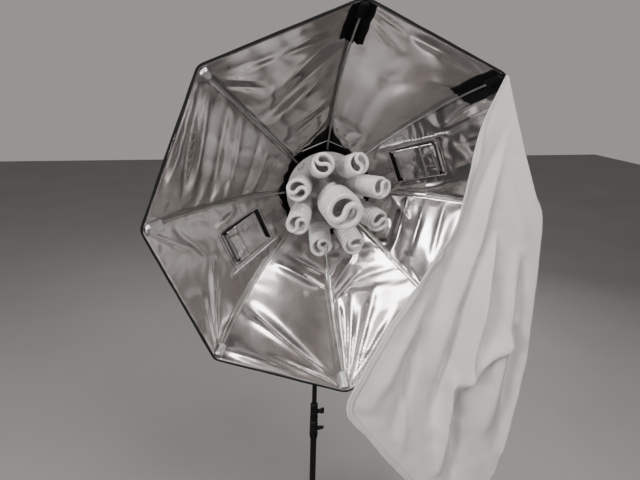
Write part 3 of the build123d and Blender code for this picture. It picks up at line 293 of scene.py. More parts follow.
class Finish:
    """A node material under construction."""

    def __init__(self, name, base, rough, metal=0.0, spec=0.5):
        self.material = bpy.data.materials.new(name)
        self.material.use_nodes = True
        self.tree = self.material.node_tree
        self.shader = self.tree.nodes["Principled BSDF"]
        self.coords = self.tree.nodes.new("ShaderNodeTexCoord")
        self.base = base
        self.set("Base Color", (*base, 1))
        self.set("Roughness", rough)
        self.set("Metallic", metal)
        self.set("Specular IOR Level", spec)
        self.normal = None

    def set(self, socket, value):
        self.shader.inputs[socket].default_value = value

    def link(self, output, target):
        self.tree.links.new(output, target)

    def noise(self, scale, detail=3.0, rough=0.55, stretch=(1, 1, 1), warp=0.0, uv=False):
        """A noise texture's value, on the object's own coordinates or its UVs, in metres."""
        mapping = self.tree.nodes.new("ShaderNodeMapping")
        mapping.inputs["Scale"].default_value = stretch
        self.link(self.coords.outputs["UV" if uv else "Object"], mapping.inputs["Vector"])
        texture = self.tree.nodes.new("ShaderNodeTexNoise")
        texture.inputs["Scale"].default_value = scale
        texture.inputs["Detail"].default_value = detail
        texture.inputs["Roughness"].default_value = rough
        texture.inputs["Distortion"].default_value = warp
        self.link(mapping.outputs["Vector"], texture.inputs["Vector"])
        return texture.outputs["Fac"]

    def spread(self, value, low, high, low_out, high_out):
        return map_range(self.tree, value, low, high, low_out, high_out)

    def tint(self, value, dark, light):
        """The base colour runs between two colours with a noise value."""
        ramp = self.tree.nodes.new("ShaderNodeValToRGB")
        ramp.color_ramp.elements[0].position = 0.34
        ramp.color_ramp.elements[0].color = (*dark, 1)
        ramp.color_ramp.elements[1].position = 0.68
        ramp.color_ramp.elements[1].color = (*light, 1)
        self.link(value, ramp.inputs["Fac"])
        self.link(ramp.outputs["Color"], self.shader.inputs["Base Color"])
        return ramp.outputs["Color"]

    def roughness(self, value, low, high):
        self.link(self.spread(value, 0.3, 0.7, low, high), self.shader.inputs["Roughness"])

    def bump(self, value, strength, distance):
        """Adds a bump on top of those before. Distance is in metres."""
        node = self.tree.nodes.new("ShaderNodeBump")
        node.inputs["Strength"].default_value = strength
        node.inputs["Distance"].default_value = distance
        self.link(value, node.inputs["Height"])
        if self.normal is not None:
            self.link(self.normal, node.inputs["Normal"])
        self.normal = node.outputs["Normal"]
        self.link(self.normal, self.shader.inputs["Normal"])

    def weave(self, threads, strength, distance, uv=False):
        """Crossed threads, a number of them to the metre."""
        values = []
        for axis in ("X", "Y", "Z")[: 2 if uv else 3]:
            wave = self.tree.nodes.new("ShaderNodeTexWave")
            wave.bands_direction = axis
            wave.inputs["Scale"].default_value = threads / 20.0
            wave.inputs["Distortion"].default_value = 0.4
            self.link(self.coords.outputs["UV" if uv else "Object"], wave.inputs["Vector"])
            values.append(wave.outputs["Fac"])
        total = values[0]
        for value in values[1:]:
            total = math_node(self.tree, "MULTIPLY", total, value)
        self.bump(total, strength, distance)


def plain_finish(name, dark, light, rough, metal=0.0, grain=900.0, mottle=30.0, strength=0.15, coat=0.0):
    """A moulded, painted or metal surface: mottled colour, uneven roughness, fine grain."""
    finish = Finish(name, light, rough, metal)
    finish.tint(finish.noise(mottle, 4.0), dark, light)
    finish.roughness(finish.noise(mottle * 3, 5.0), rough * 0.82, min(1.0, rough * 1.22))
    finish.bump(finish.noise(grain, 2.0), strength, 0.0003)
    if coat:
        finish.set("Coat Weight", coat)
        finish.set("Coat Roughness", 0.12)
    return finish


def silver_finish(name, dark, light, rough):
    """Metal-coated lining: brushed by handling, with small crinkles and duller patches."""
    finish = Finish(name, light, rough, 0.92)
    finish.tint(finish.noise(7.0, 3.0, warp=0.6), dark, light)
    finish.roughness(finish.noise(16.0, 4.0, warp=0.8), rough * 0.8, rough * 1.25)
    finish.bump(finish.noise(22.0, 2.0, 0.45, warp=0.8), 0.07, 0.0014)
    finish.bump(finish.noise(120.0, 3.0, 0.5, warp=0.3), 0.06, 0.0003)
    finish.bump(finish.noise(1700.0, 1.0), 0.06, 0.0001)
    return finish


def cloth_finish(name, dark, light, rough, threads, sheen=0.25, uv=False):
    """Woven cloth with a soft sheen."""
    finish = Finish(name, light, rough, 0.0, 0.25)
    finish.tint(finish.noise(9.0, 4.0, warp=0.5), dark, light)
    finish.roughness(finish.noise(40.0, 4.0), rough * 0.9, min(1.0, rough * 1.08))
    finish.bump(finish.noise(60.0, 4.0, 0.6, warp=0.8), 0.25, 0.0008)
    finish.weave(threads, 0.35, 0.00025, uv)
    finish.set("Sheen Weight", sheen)
    finish.set("Sheen Roughness", 0.45)
    return finish


silver = silver_finish("silver_lining", (0.52, 0.49, 0.48), (0.68, 0.66, 0.655), 0.18)
pocket_silver = silver_finish("pocket_silver", (0.66, 0.65, 0.67), (0.80, 0.79, 0.81), 0.42)
black_nylon = cloth_finish("black_nylon", (0.004, 0.004, 0.0045), (0.009, 0.009, 0.010), 0.62, 2200.0, 0.05)
black_tape = cloth_finish("black_tape", (0.002, 0.002, 0.0022), (0.005, 0.005, 0.0055), 0.78, 900.0, 0.02)
black_tab = cloth_finish("black_tab", (0.0015, 0.0015, 0.0018), (0.004, 0.004, 0.0045), 0.88, 700.0, 0.01)
thread_dark = plain_finish("thread_dark", (0.008, 0.008, 0.008), (0.020, 0.019, 0.018), 0.8, mottle=400.0)
thread_white = plain_finish("thread_white", (0.62, 0.61, 0.60), (0.78, 0.77, 0.76), 0.7, mottle=400.0)
thread_grey = plain_finish("thread_grey", (0.22, 0.215, 0.21), (0.34, 0.33, 0.32), 0.7, mottle=400.0)
thread_black = plain_finish("thread_black", (0.02, 0.02, 0.02), (0.05, 0.05, 0.05), 0.75, mottle=400.0)


def white_cloth():
    """Thin translucent diffusion cloth."""
    dark, light = (0.86, 0.845, 0.83), (0.93, 0.92, 0.905)
    finish = cloth_finish("diffusion_cloth", dark, light, 0.74, 1800.0, 0.1, True)
    tree = finish.tree
    through = tree.nodes.new("ShaderNodeBsdfTranslucent")
    through.inputs["Color"].default_value = (0.80, 0.775, 0.755, 1)
    mix = tree.nodes.new("ShaderNodeMixShader")
    mix.inputs["Fac"].default_value = 0.18
    output = tree.nodes["Material Output"]
    finish.link(finish.shader.outputs["BSDF"], mix.inputs[1])
    finish.link(through.outputs["BSDF"], mix.inputs[2])
    finish.link(mix.outputs["Shader"], output.inputs["Surface"])
    return finish


diffusion = white_cloth()


def lamp_glass():
    """Milky phosphor-coated glass under a clear gloss."""
    finish = Finish("lamp_glass", (0.86, 0.85, 0.845), 0.3)
    finish.tint(finish.noise(45.0, 3.0), (0.76, 0.745, 0.735), (0.86, 0.85, 0.84))
    finish.roughness(finish.noise(90.0, 3.0), 0.2, 0.34)
    finish.bump(finish.noise(500.0, 2.0), 0.05, 0.0002)
    finish.set("Coat Weight", 0.7)
    finish.set("Coat Roughness", 0.08)
    finish.set("Subsurface Weight", 0.25)
    finish.set("Subsurface Radius", (0.006, 0.006, 0.006))
    finish.set("Subsurface Scale", 1.0)
    return finish


glass = lamp_glass()

# Darker and lighter colour, roughness, then what differs from a plain finish.
NODE_LOOKS = {
    "stand_black": ((0.005, 0.005, 0.005), (0.010, 0.010, 0.0095), 0.42, dict(mottle=60.0, coat=0.15)),
    "collar_plastic": ((0.004, 0.004, 0.004), (0.009, 0.009, 0.009), 0.5, dict(grain=1500.0)),
    "knob_plastic": ((0.004, 0.004, 0.004), (0.010, 0.010, 0.010), 0.55, dict(grain=1300.0)),
    "rubber": ((0.012, 0.012, 0.012), (0.024, 0.023, 0.022), 0.85, dict(grain=700.0, strength=0.4)),
    "zinc_steel": ((0.46, 0.46, 0.45), (0.62, 0.62, 0.60), 0.36, dict(metal=0.95, mottle=120.0)),
    "spigot_steel": ((0.55, 0.55, 0.54), (0.70, 0.70, 0.69), 0.27, dict(metal=1.0, mottle=90.0)),
    "adapter_black": ((0.011, 0.011, 0.012), (0.021, 0.021, 0.022), 0.48, dict(grain=800.0, strength=0.3)),
    "housing_black": ((0.013, 0.013, 0.013), (0.024, 0.024, 0.024), 0.5, dict(grain=600.0, strength=0.35)),
    "plate_white": ((0.60, 0.59, 0.575), (0.70, 0.69, 0.675), 0.33, dict(mottle=14.0, coat=0.3)),
    "socket_white": ((0.62, 0.61, 0.59), (0.74, 0.73, 0.71), 0.42, dict(mottle=50.0)),
    "cap_metal": ((0.55, 0.54, 0.52), (0.72, 0.71, 0.69), 0.3, dict(metal=1.0, mottle=110.0)),
    "ballast_white": ((0.60, 0.585, 0.57), (0.70, 0.685, 0.67), 0.42, dict(mottle=25.0, grain=1600.0)),
    "terminal_plastic": ((0.50, 0.48, 0.42), (0.62, 0.60, 0.53), 0.5, dict()),
    "wire_sleeve": ((0.55, 0.54, 0.50), (0.70, 0.69, 0.64), 0.55, dict(mottle=300.0)),
    "inlet_black": ((0.010, 0.010, 0.010), (0.018, 0.018, 0.018), 0.4, dict(grain=1500.0)),
    "rocker_red": ((0.34, 0.014, 0.012), (0.46, 0.022, 0.018), 0.28, dict(mottle=90.0, coat=0.4)),
    "rib_steel": ((0.30, 0.305, 0.29), (0.50, 0.505, 0.49), 0.34, dict(metal=0.85, mottle=40.0)),
    "rib_socket_black": ((0.012, 0.012, 0.012), (0.022, 0.022, 0.022), 0.5, dict()),
}
NODE_FINISHES = {"lamp_glass": glass}
for slot_name, (dark, light, rough, options) in NODE_LOOKS.items():
    NODE_FINISHES[slot_name] = plain_finish(slot_name, dark, light, rough, **options)


def paint_nodes():
    """Every CAD node that stays in view gets the finish of its material slot."""
    slots = {}
    for row in frame["record"]["subparts"]:
        slots[row["node"]] = row["material_slot"]
    for name, node in frame["nodes"].items():
        finish = NODE_FINISHES.get(slots.get(name, ""))
        if finish is None:
            continue
        node.data.materials.clear()
        node.data.materials.append(finish.material)


paint_nodes()

# ---------------------------------------------------------------- the shell's shape
FLAT_RIM = (RIM_RADIUS * COS_HALF, RIM_REACH)
FLAT_HOLE = (HOLE_RADIUS * COS_HALF, HOLE_REACH)


def arc_through(start, end, bow):
    """Centre, radius and end angles of an arc that bows outward and back over its chord."""
    run, rise = end[0] - start[0], end[1] - start[1]
    chord = math.hypot(run, rise)
    radius = (chord**2 / 4 + bow**2) / (2 * bow)
    crest = ((start[0] + end[0]) / 2 + bow * rise / chord, (start[1] + end[1]) / 2 - bow * run / chord)
    centre = (crest[0] - radius * rise / chord, crest[1] + radius * run / chord)
    first = math.atan2(start[1] - centre[1], start[0] - centre[0])
    last = math.atan2(end[1] - centre[1], end[0] - centre[0])
    return centre, radius, first, last


ARC_CENTRE, ARC_RADIUS, ARC_FIRST, ARC_LAST = arc_through(FLAT_HOLE, FLAT_RIM, BOW)
ARC_LENGTH = ARC_RADIUS * (ARC_LAST - ARC_FIRST)


def along_arc(t):
    """Distance, reach and inward direction of the panels' middle line, t from the hole to the rim."""
    angle = ARC_FIRST + (ARC_LAST - ARC_FIRST) * t
    distance = ARC_CENTRE[0] + ARC_RADIUS * np.cos(angle)
    reach = ARC_CENTRE[1] + ARC_RADIUS * np.sin(angle)
    return distance, reach, -np.cos(angle), -np.sin(angle)


def arc_place(distance):
    """The t at which the panels' middle line reaches a distance."""
    angle = -math.acos((distance - ARC_CENTRE[0]) / ARC_RADIUS)
    return (angle - ARC_FIRST) / (ARC_LAST - ARC_FIRST)


def ridge(s, q, start, end, width, height, spread=0.0, power=2.0):
    """A fold between two points (across, along), highest midway; spread narrows it at its start."""
    run, rise = end[0] - start[0], end[1] - start[1]
    length = math.hypot(run, rise)
    along = ((s - start[0]) * run + (q - start[1]) * rise) / length**2
    across = ((s - start[0]) * rise - (q - start[1]) * run) / length
    inside = np.clip(along, 0, 1)
    fade = np.sin(math.pi * inside) ** 0.8
    local = width * (1 - spread + spread * 1.6 * inside)
    return height * fade * np.exp(-np.abs(across / np.maximum(local, 0.5)) ** power)


# Folds of each gore: start and end as (across share, along share), width, height inward, spread, power.
FOLDS = {
    0: (
        ((0.93, 0.92), (0.80, 0.52), 9, 4.0, 0.5, 1.5),
        ((0.84, 0.97), (0.74, 0.50), 12, -6.0, 0.3, 1.6),
        ((0.66, 0.98), (0.60, 0.60), 10, 5.0, 0.3, 1.5),
        ((0.45, 0.97), (0.36, 0.56), 13, -6.0, 0.3, 1.6),
        ((0.25, 0.95), (0.22, 0.60), 9, 5.0, 0.3, 1.5),
        ((0.10, 0.30), (0.24, 0.62), 8, 4.0, 0.2, 1.5),
        ((0.05, 0.12), (0.17, 0.52), 7, 4.0, 0.2, 1.3),
    ),
    1: (
        ((1.00, 0.98), (0.55, 0.90), 7, 3.0, 0.5, 1.6),
        ((0.96, 0.93), (0.60, 0.80), 5, -2.2, 0.5, 1.5),
        ((0.92, 0.86), (0.72, 0.78), 4, 2.0, 0.4, 1.5),
        ((0.02, 0.80), (0.30, 0.72), 7, 3.0, 0.4, 1.4),
        ((0.02, 0.90), (0.42, 0.90), 9, -4.0, 0.4, 1.6),
        ((0.86, 0.92), (0.08, 0.93), 11, -3.5, 0.0, 2.0),
        ((0.99, 0.10), (0.35, 0.05), 12, 8.0, 0.2, 1.5),
        ((0.99, 0.18), (0.30, 0.14), 11, -5.0, 0.3, 1.7),
    ),
    2: (
        ((0.02, 0.70), (0.97, 0.36), 15, -5.0, 0.1, 1.7),
        ((0.14, 0.54), (0.97, 0.30), 15, 5.0, 0.1, 1.7),
        ((0.05, 0.84), (0.85, 0.52), 14, 4.0, 0.2, 1.7),
        ((0.03, 0.78), (0.97, 0.89), 12, -3.0, 0.0, 1.8),
        ((0.03, 0.92), (0.90, 0.78), 11, 2.6, 0.2, 1.7),
        ((0.98, 0.84), (0.72, 0.70), 8, 2.8, 0.4, 1.5),
        ((0.98, 0.76), (0.70, 0.60), 8, -2.8, 0.4, 1.5),
        ((0.03, 0.19), (0.97, 0.02), 13, 9.0, 0.2, 1.4),
        ((0.05, 0.26), (0.90, 0.12), 9, -6.0, 0.2, 1.5),
        ((0.05, 0.33), (0.80, 0.22), 8, 4.0, 0.3, 1.5),
    ),
    3: (
        ((0.08, 0.93), (0.86, 0.75), 7, -7.0, 0.2, 1.3),
        ((0.03, 0.97), (0.75, 0.92), 9, 4.0, 0.2, 1.5),
        ((0.06, 0.84), (0.95, 0.66), 11, 5.0, 0.2, 1.5),
        ((0.05, 0.66), (0.97, 0.50), 14, -4.0, 0.1, 1.7),
        ((0.05, 0.50), (0.97, 0.38), 11, 4.0, 0.1, 1.6),
        ((0.05, 0.30), (0.97, 0.26), 8, -3.0, 0.1, 1.5),
        ((0.05, 0.20), (0.97, 0.19), 6, 3.5, 0.1, 1.4),
        ((0.10, 0.10), (0.90, 0.11), 5, -3.0, 0.1, 1.4),
    ),
    4: (
        ((0.99, 0.97), (0.42, 0.62), 8, 6.5, 0.6, 1.4),
        ((0.97, 0.95), (0.62, 0.66), 6, -5.0, 0.6, 1.3),
        ((0.99, 0.98), (0.56, 0.84), 7, 4.0, 0.5, 1.4),
        ((0.03, 0.97), (0.35, 0.70), 8, 4.0, 0.5, 1.5),
        ((0.06, 0.80), (0.40, 0.66), 7, -3.0, 0.3, 1.5),
        ((0.12, 0.32), (0.24, 0.52), 9, 5.0, 0.2, 1.4),
        ((0.90, 0.14), (0.50, 0.12), 7, 5.0, 0.2, 1.4),
    ),
    5: (
        ((0.98, 0.97), (0.03, 0.60), 13, -15.0, 0.5, 1.7),
        ((0.985, 0.96), (0.12, 0.68), 8, 13.0, 0.5, 1.3),
        ((0.985, 0.985), (0.30, 0.90), 8, 6.0, 0.5, 1.4),
        ((0.02, 0.93), (0.62, 0.985), 8, 9.0, 0.2, 1.5),
        ((0.10, 0.27), (0.98, 0.36), 10, 8.0, 0.0, 1.5),
        ((0.10, 0.18), (0.98, 0.24), 9, -6.0, 0.0, 1.5),
        ((0.97, 0.33), (0.62, 0.42), 7, 3.5, 0.4, 1.4),
    ),
    6: (
        ((0.012, 0.975), (0.10, 0.36), 8, 10.0, 0.75, 1.4),
        ((0.015, 0.975), (0.20, 0.40), 8, -9.0, 0.75, 1.5),
        ((0.02, 0.975), (0.30, 0.38), 9, 11.0, 0.75, 1.3),
        ((0.025, 0.975), (0.43, 0.46), 9, -9.0, 0.75, 1.5),
        ((0.03, 0.98), (0.62, 0.42), 10, 11.0, 0.75, 1.3),
        ((0.03, 0.985), (0.74, 0.62), 9, -8.0, 0.75, 1.5),
        ((0.03, 0.99), (0.90, 0.72), 10, 8.0, 0.75, 1.4),
        ((0.04, 0.34), (0.62, 0.16), 8, 5.5, 0.3, 1.4),
        ((0.05, 0.26), (0.60, 0.08), 6, -4.5, 0.3, 1.4),
        ((0.03, 0.42), (0.50, 0.30), 6, 4.0, 0.4, 1.3),
    ),
    7: (
        ((0.97, 0.10), (0.60, 0.30), 8, 6.0, 0.2, 1.3),
        ((0.97, 0.22), (0.10, 0.30), 8, -5.0, 0.2, 1.4),
        ((0.97, 0.34), (0.20, 0.42), 9, 5.5, 0.3, 1.3),
        ((0.97, 0.46), (0.30, 0.56), 8, -4.0, 0.3, 1.4),
        ((0.97, 0.62), (0.25, 0.76), 8, 6.0, 0.4, 1.4),
        ((0.97, 0.76), (0.25, 0.90), 8, -5.0, 0.4, 1.4),
        ((0.97, 0.92), (0.30, 0.98), 7, 4.0, 0.4, 1.4),
    ),
}
# Soft streaks of each gore: height, how much they lean, how many wavelets run across the streaks.
STREAKS = (
    (1.5, 0.20, 0.55), (1.1, 0.12, 0.40), (1.7, 0.34, 0.45), (2.0, 0.16, 0.55),
    (1.5, 0.10, 0.60), (1.1, -0.15, 0.45), (2.0, -0.10, 0.70), (2.0, 0.12, 0.70),
)
# Height of the fine crumple of each gore.
CRUMPLE = (0.40, 0.14, 0.15, 0.17, 0.34, 0.12, 0.28, 0.42)
# The raised seam along a rib and the dip beside it.
WELT, WELT_DIP = 0.7, 0.8
# Tucks on both sides of the lowest corner, and their distances from its rib.
TUCK_GORES, TUCK_GAPS = (5, 6), (9.0, 15.0)
PANEL_SAG, WINDOW_SAG = 6.0, 1.5
# How much of the simulated buckling each gore keeps.
SLACK = (0.7, 0.15, 0.25, 0.4, 0.55, 0.25, 0.7, 0.85)


# What the cloth simulation added to each gore; filled by relax_lining.
RELAXED = {}


def fold_height(gore, u, t):
    """Height of the lining inward of the flat panel: the drawn folds, then what the simulation added."""
    drawn = drawn_height(gore, u, t)
    if gore not in RELAXED:
        return drawn
    return drawn + relaxed_height(gore, u, t)


def relaxed_height(gore, u, t):
    """The simulated change of height at shares (u, t), from the nearest points of the gore's grid."""
    known_u, known_t, known = RELAXED[gore]
    if np.shape(u) == known_u.shape and np.allclose(u, known_u) and np.allclose(t, known_t):
        return known
    u, t = np.broadcast_arrays(np.asarray(u, float), np.asarray(t, float))
    flat_u, flat_t, flat = known_u.ravel(), known_t.ravel(), known.ravel()
    result = []
    for a, b in zip(u.ravel(), t.ravel()):
        far = (flat_u - a) ** 2 * 0.4 + (flat_t - b) ** 2
        near = np.argpartition(far, 4)[:4]
        weight = 1 / (far[near] + 1e-7)
        result.append((flat[near] * weight).sum() / weight.sum())
    return np.array(result).reshape(u.shape)


def cloth_grain(gore, s, q, t, from_rib):
    """Soft streaks across a gore, and a fine crumple that grows towards the plate."""
    height, lean, rate = STREAKS[gore]
    slant = q + lean * s
    streak = smooth_noise(s / 210, slant / (26 / rate), 11 + gore) * height
    streak += smooth_noise(s / 110 + 7, slant / (11 / rate), 31 + gore) * height * 0.18
    near_plate = step_up(-t, -0.45, -0.05)
    crumple = smooth_noise(s / 24, q / 15, 51 + gore) * CRUMPLE[gore] * (0.3 + 2.0 * near_plate)
    crumple += smooth_noise(s / 11, q / 9, 71 + gore) * CRUMPLE[gore] * (0.08 + 0.8 * near_plate)
    return (streak + crumple) * step_up(from_rib, 2.0, 26.0)


def drawn_folds(gore, s, q, from_rib):
    """The listed folds of a gore, which die out beside its ribs."""
    total = 0
    for start, end, width, lift, spread, power in FOLDS[gore]:
        points = []
        for across, share in (start, end):
            points.append(((2 * across - 1) * along_arc(share)[0] * TAN_HALF, share * ARC_LENGTH))
        total = total + ridge(s, q, *points, width, lift, spread, power)
    return total * step_up(from_rib, 0.0, 14.0)


def seam_relief(gore, u, t, from_rib, rim):
    """The welt along each rib, and the tucks that run up from the lowest corner."""
    welt = WELT * bell(from_rib, 2.6) - WELT_DIP * bell(from_rib - 6.0, 2.0)
    relief = welt * rim * step_up(t, -0.02, 0.06)
    if gore in TUCK_GORES:
        beside_corner = (2 * u > 1) == (gore == TUCK_GORES[0])
        for gap in TUCK_GAPS:
            relief = relief + 1.5 * bell(from_rib - gap, 1.6) * step_up(t, 0.4, 0.6) * rim * beside_corner
    return relief


def drawn_height(gore, u, t):
    """Height of the drawn folds, in millimetres."""
    distance = along_arc(t)[0]
    half_width = distance * TAN_HALF
    s = (2 * u - 1) * half_width
    q = t * ARC_LENGTH
    from_rib = (1 - np.abs(2 * u - 1)) * half_width
    rim = step_up(1 - t, 0.0, 0.05)
    total = (cloth_grain(gore, s, q, t, from_rib) + drawn_folds(gore, s, q, from_rib)) * rim
    sag = WINDOW_SAG if gore in WINDOW_GORES else PANEL_SAG
    sag = sag * np.sin(math.pi * np.clip(u, 0, 1)) * np.sin(math.pi * np.clip(t, 0, 1))
    total = total + sag + seam_relief(gore, u, t, from_rib, rim)
    if gore in WINDOW_GORES:
        total = window_height(total, distance, s, q)
    return total


CASING_LINE = 58.0
CASING_IN, CASING_OUT = 172.0, 316.0


def window_height(total, distance, s, q):
    """Flattens the cloth round a window's edge and adds the gathered casing beside its hinge."""
    outside = np.maximum(np.maximum(WINDOW_IN - distance, distance - WINDOW_OUT), np.abs(s) - WINDOW_HALF)
    total = total * (0.25 + 0.75 * step_up(outside, 2.0, 26.0))
    length = step_up(distance, CASING_IN - 4, CASING_IN + 4)
    length = length * (1 - step_up(distance, CASING_OUT - 4, CASING_OUT + 4))
    beside = s - CASING_LINE - 1.6 * line_noise(q / 24, 91)
    pleat = 0.55 + 0.45 * np.sin(q * 0.9 + 2.0 * line_noise(q / 20, 93))
    casing = 3.4 * bell(beside, 6.5) * (0.6 + 0.4 * pleat)
    gather = 1.6 * pleat * bell(beside - 8.0, 9.0)
    stitch = -1.3 * bell(beside, 1.3)
    return total + (casing + gather + stitch) * length


# ---------------------------------------------------------------- lining and outer shell
COLUMNS = 58
BANDS = ((16, 32, 34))
NOTCH = 0.135


def row_places():
    """Shares along the arc, with a row at each end of the windows."""
    inner, outer = arc_place(WINDOW_IN), arc_place(WINDOW_OUT)
    first = np.linspace(0, inner, BANDS[0] + 1)
    second = np.linspace(inner, outer, BANDS[1] + 1)[1:]
    third = np.linspace(outer, 1, BANDS[2] + 1)[1:]
    return np.concatenate([first, second, third])


ROWS = row_places()


def column_places():
    """Shares across a gore, closer together beside the ribs."""
    even = np.linspace(0, 1, COLUMNS + 1)
    bunched = 0.5 - 0.5 * np.cos(math.pi * even)
    return 0.55 * even + 0.45 * bunched


EVEN_COLUMNS = column_places()
EDGE_COLUMN = int(np.argmin(np.abs(EVEN_COLUMNS - 0.26)))
EDGE_SHARE = 1 - 2 * EVEN_COLUMNS[EDGE_COLUMN]


def hole_edge(gore, u):
    """Where the lining starts: scalloped, with a notch either side of the top rib."""
    scallop = -0.024 + 0.016 * np.sin(math.pi * u * 3 + gore) ** 2 * np.sin(math.pi * u)
    if gore == 2:
        scallop = scallop + NOTCH * np.clip(1 - u, 0, 1) ** 1.7
    if gore == 1:
        scallop = scallop + NOTCH * np.clip(u, 0, 1) ** 3.2
    return scallop


def gore_layout(gore, notched):
    """Shares (u, t) of one gore's grid, with its columns bent to follow a window's sides."""
    u = np.repeat(EVEN_COLUMNS[None, :], len(ROWS), 0)
    t = np.repeat(ROWS[:, None], len(EVEN_COLUMNS), 1)
    start = hole_edge(gore, u) if notched else 0 * u
    t = start + (1 - start) * t if gore in (1, 2) else t + start * step_up(-t, -0.1, 0.0)
    if gore in WINDOW_GORES:
        distance = along_arc(t)[0]
        near = step_up(distance, WINDOW_IN - 45, WINDOW_IN - 4)
        near = near * (1 - step_up(distance, WINDOW_OUT + 4, WINDOW_OUT + 45))
        wanted = WINDOW_HALF / (distance * TAN_HALF)
        edge = EDGE_SHARE * (1 - near) + wanted * near
        share = 2 * u - 1
        inner = share / EDGE_SHARE * edge
        outer = np.sign(share) * (edge + (np.abs(share) - EDGE_SHARE) / (1 - EDGE_SHARE) * (1 - edge))
        u = (np.where(np.abs(share) <= EDGE_SHARE + 1e-9, inner, outer) + 1) / 2
    return u, t


def gore_surface(gore, u, t, lift):
    """World points of a gore at shares (u, t), lifted inward by a height."""
    distance, reach, inward_d, inward_r = along_arc(t)
    middle = HALF + STEP * gore
    s = (2 * u - 1) * distance * TAN_HALF
    turn = middle + HALF * np.sign(2 * u - 1) * np.abs(2 * u - 1) ** 5
    x = distance * math.cos(middle) - s * math.sin(middle) + lift * inward_d * np.cos(turn)
    z = distance * math.sin(middle) + s * math.cos(middle) + lift * inward_d * np.sin(turn)
    return np.stack([x, -(reach + lift * inward_r), AXIS + z], -1)


def ring_grid(notched, lift):
    """The whole shell as one closed ring of gores; lift is added to the fold height."""
    grids = []
    for gore in range(GORES):
        u, t = gore_layout(gore, notched)
        grids.append(gore_surface(gore, u, t, fold_height(gore, u, t) + lift)[:, :-1])
    return np.concatenate(grids, 1)


LINING_STEPS, LINING_GROWTH, LINING_STIFFNESS, LINING_CAP = 16, 0.007, 12.0, 6.0


def relax_cloth(name, grid, pinned, mask):
    """Runs the cloth simulation on a ring of points and returns where they settle, in millimetres."""
    rows, cols = grid.shape[:2]
    faces = []
    for i in range(rows - 1):
        for j in range(cols):
            if mask[i, j]:
                faces.append(cell(i, j, (j + 1) % cols, cols))
    body = new_mesh(name, grid.reshape(-1, 3), faces, [])
    group = body.vertex_groups.new(name="held")
    weights = pinned.ravel()
    for level in np.unique(np.round(weights, 2)):
        if level > 0:
            group.add([int(k) for k in np.where(np.round(weights, 2) == level)[0]], float(level), "REPLACE")
    cloth = body.modifiers.new("Cloth", "CLOTH")
    settings = cloth.settings
    settings.quality = 6
    settings.mass = 0.12
    settings.tension_stiffness = LINING_STIFFNESS
    settings.compression_stiffness = LINING_STIFFNESS
    settings.shear_stiffness = LINING_STIFFNESS * 0.6
    settings.bending_stiffness = 1.6
    settings.air_damping = 3.0
    settings.vertex_group_mass = "held"
    settings.pin_stiffness = 1.0
    settings.shrink_min = -LINING_GROWTH
    settings.effector_weights.gravity = 0.0
    cloth.collision_settings.use_collision = False
    cloth.collision_settings.use_self_collision = False
    cloth.point_cache.frame_start = 1
    cloth.point_cache.frame_end = LINING_STEPS + 1
    scene = bpy.context.scene
    for step in range(1, LINING_STEPS + 1):
        scene.frame_set(step)
    settled = body.evaluated_get(bpy.context.evaluated_depsgraph_get()).to_mesh()
    points = np.zeros(rows * cols * 3, np.float32)
    settled.vertices.foreach_get("co", points)
    bpy.data.objects.remove(body)
    scene.frame_set(1)
    return points.reshape(rows, cols, 3).astype(float) / MM


def relax_lining():
    """Lets the lining buckle between its seams, and keeps the change of height it settles at."""
    grid = ring_grid(True, 0.0)
    rows, cols = grid.shape[:2]
    pinned = np.zeros((rows, cols))
    pinned[-1] = 1.0
    pinned[0] = 0.8
    for gore in range(GORES):
        pinned[:, gore * COLUMNS] = 1.0
    for gore in WINDOW_GORES:
        start = gore * COLUMNS
        first, last = start + EDGE_COLUMN, start + COLUMNS - EDGE_COLUMN
        pinned[BANDS[0] - 1:BANDS[0] + BANDS[1] + 2, first - 1:last + 2] = 1.0
    settled = relax_cloth("lining_rest", grid, pinned, ring_mask())
    moved = settled - grid
    for gore in range(GORES):
        u, t = gore_layout(gore, True)
        flat = gore_surface(gore, u, t, 0.0)
        lifted = gore_surface(gore, u, t, 1.0)
        columns = np.arange(gore * COLUMNS, (gore + 1) * COLUMNS + 1) % cols
        change = np.sum(moved[:, columns] * (lifted - flat), -1)
        RELAXED[gore] = (u, t, SLACK[gore] * np.clip(change, -LINING_CAP, LINING_CAP))


def ring_mask():
    """False where the windows are."""
    mask = np.ones((len(ROWS) - 1, GORES * COLUMNS), bool)
    for gore in WINDOW_GORES:
        start = gore * COLUMNS
        mask[BANDS[0]:BANDS[0] + BANDS[1], start + EDGE_COLUMN:start + COLUMNS - EDGE_COLUMN] = False
    return mask


LINING_THICKNESS = 0.5
SHELL_GAP = 0.9
SHELL_THICKNESS = 0.9


def make_shell():
    """The silver lining and the black outer cloth behind it."""
    mask = ring_mask()
    points, faces, _ = sheet_solid(ring_grid(True, 0.0), ring_grid(True, -LINING_THICKNESS), mask, True)
    new_mesh("lining", points, faces, silver.material, "head")
    outer_start = -LINING_THICKNESS - SHELL_GAP
    points, faces, _ = sheet_solid(
        ring_grid(False, outer_start), ring_grid(False, outer_start - SHELL_THICKNESS), mask, True
    )
    new_mesh(
        "outer_cloth", points, faces, black_nylon.material, "head",
        replaces="fabric_shell",
    )


relax_lining()
make_shell()


def on_lining(gore, distance, s, lift):
    """A world point above the lining at a distance and offset in one gore."""
    distance, s = np.asarray(distance, float), np.asarray(s, float)
    angle = -np.arccos(np.clip((distance - ARC_CENTRE[0]) / ARC_RADIUS, -1, 1))
    t = (angle - ARC_FIRST) / (ARC_LAST - ARC_FIRST)
    u = (s / (distance * TAN_HALF) + 1) / 2
    return gore_surface(gore, u, t, fold_height(gore, u, t) + lift)


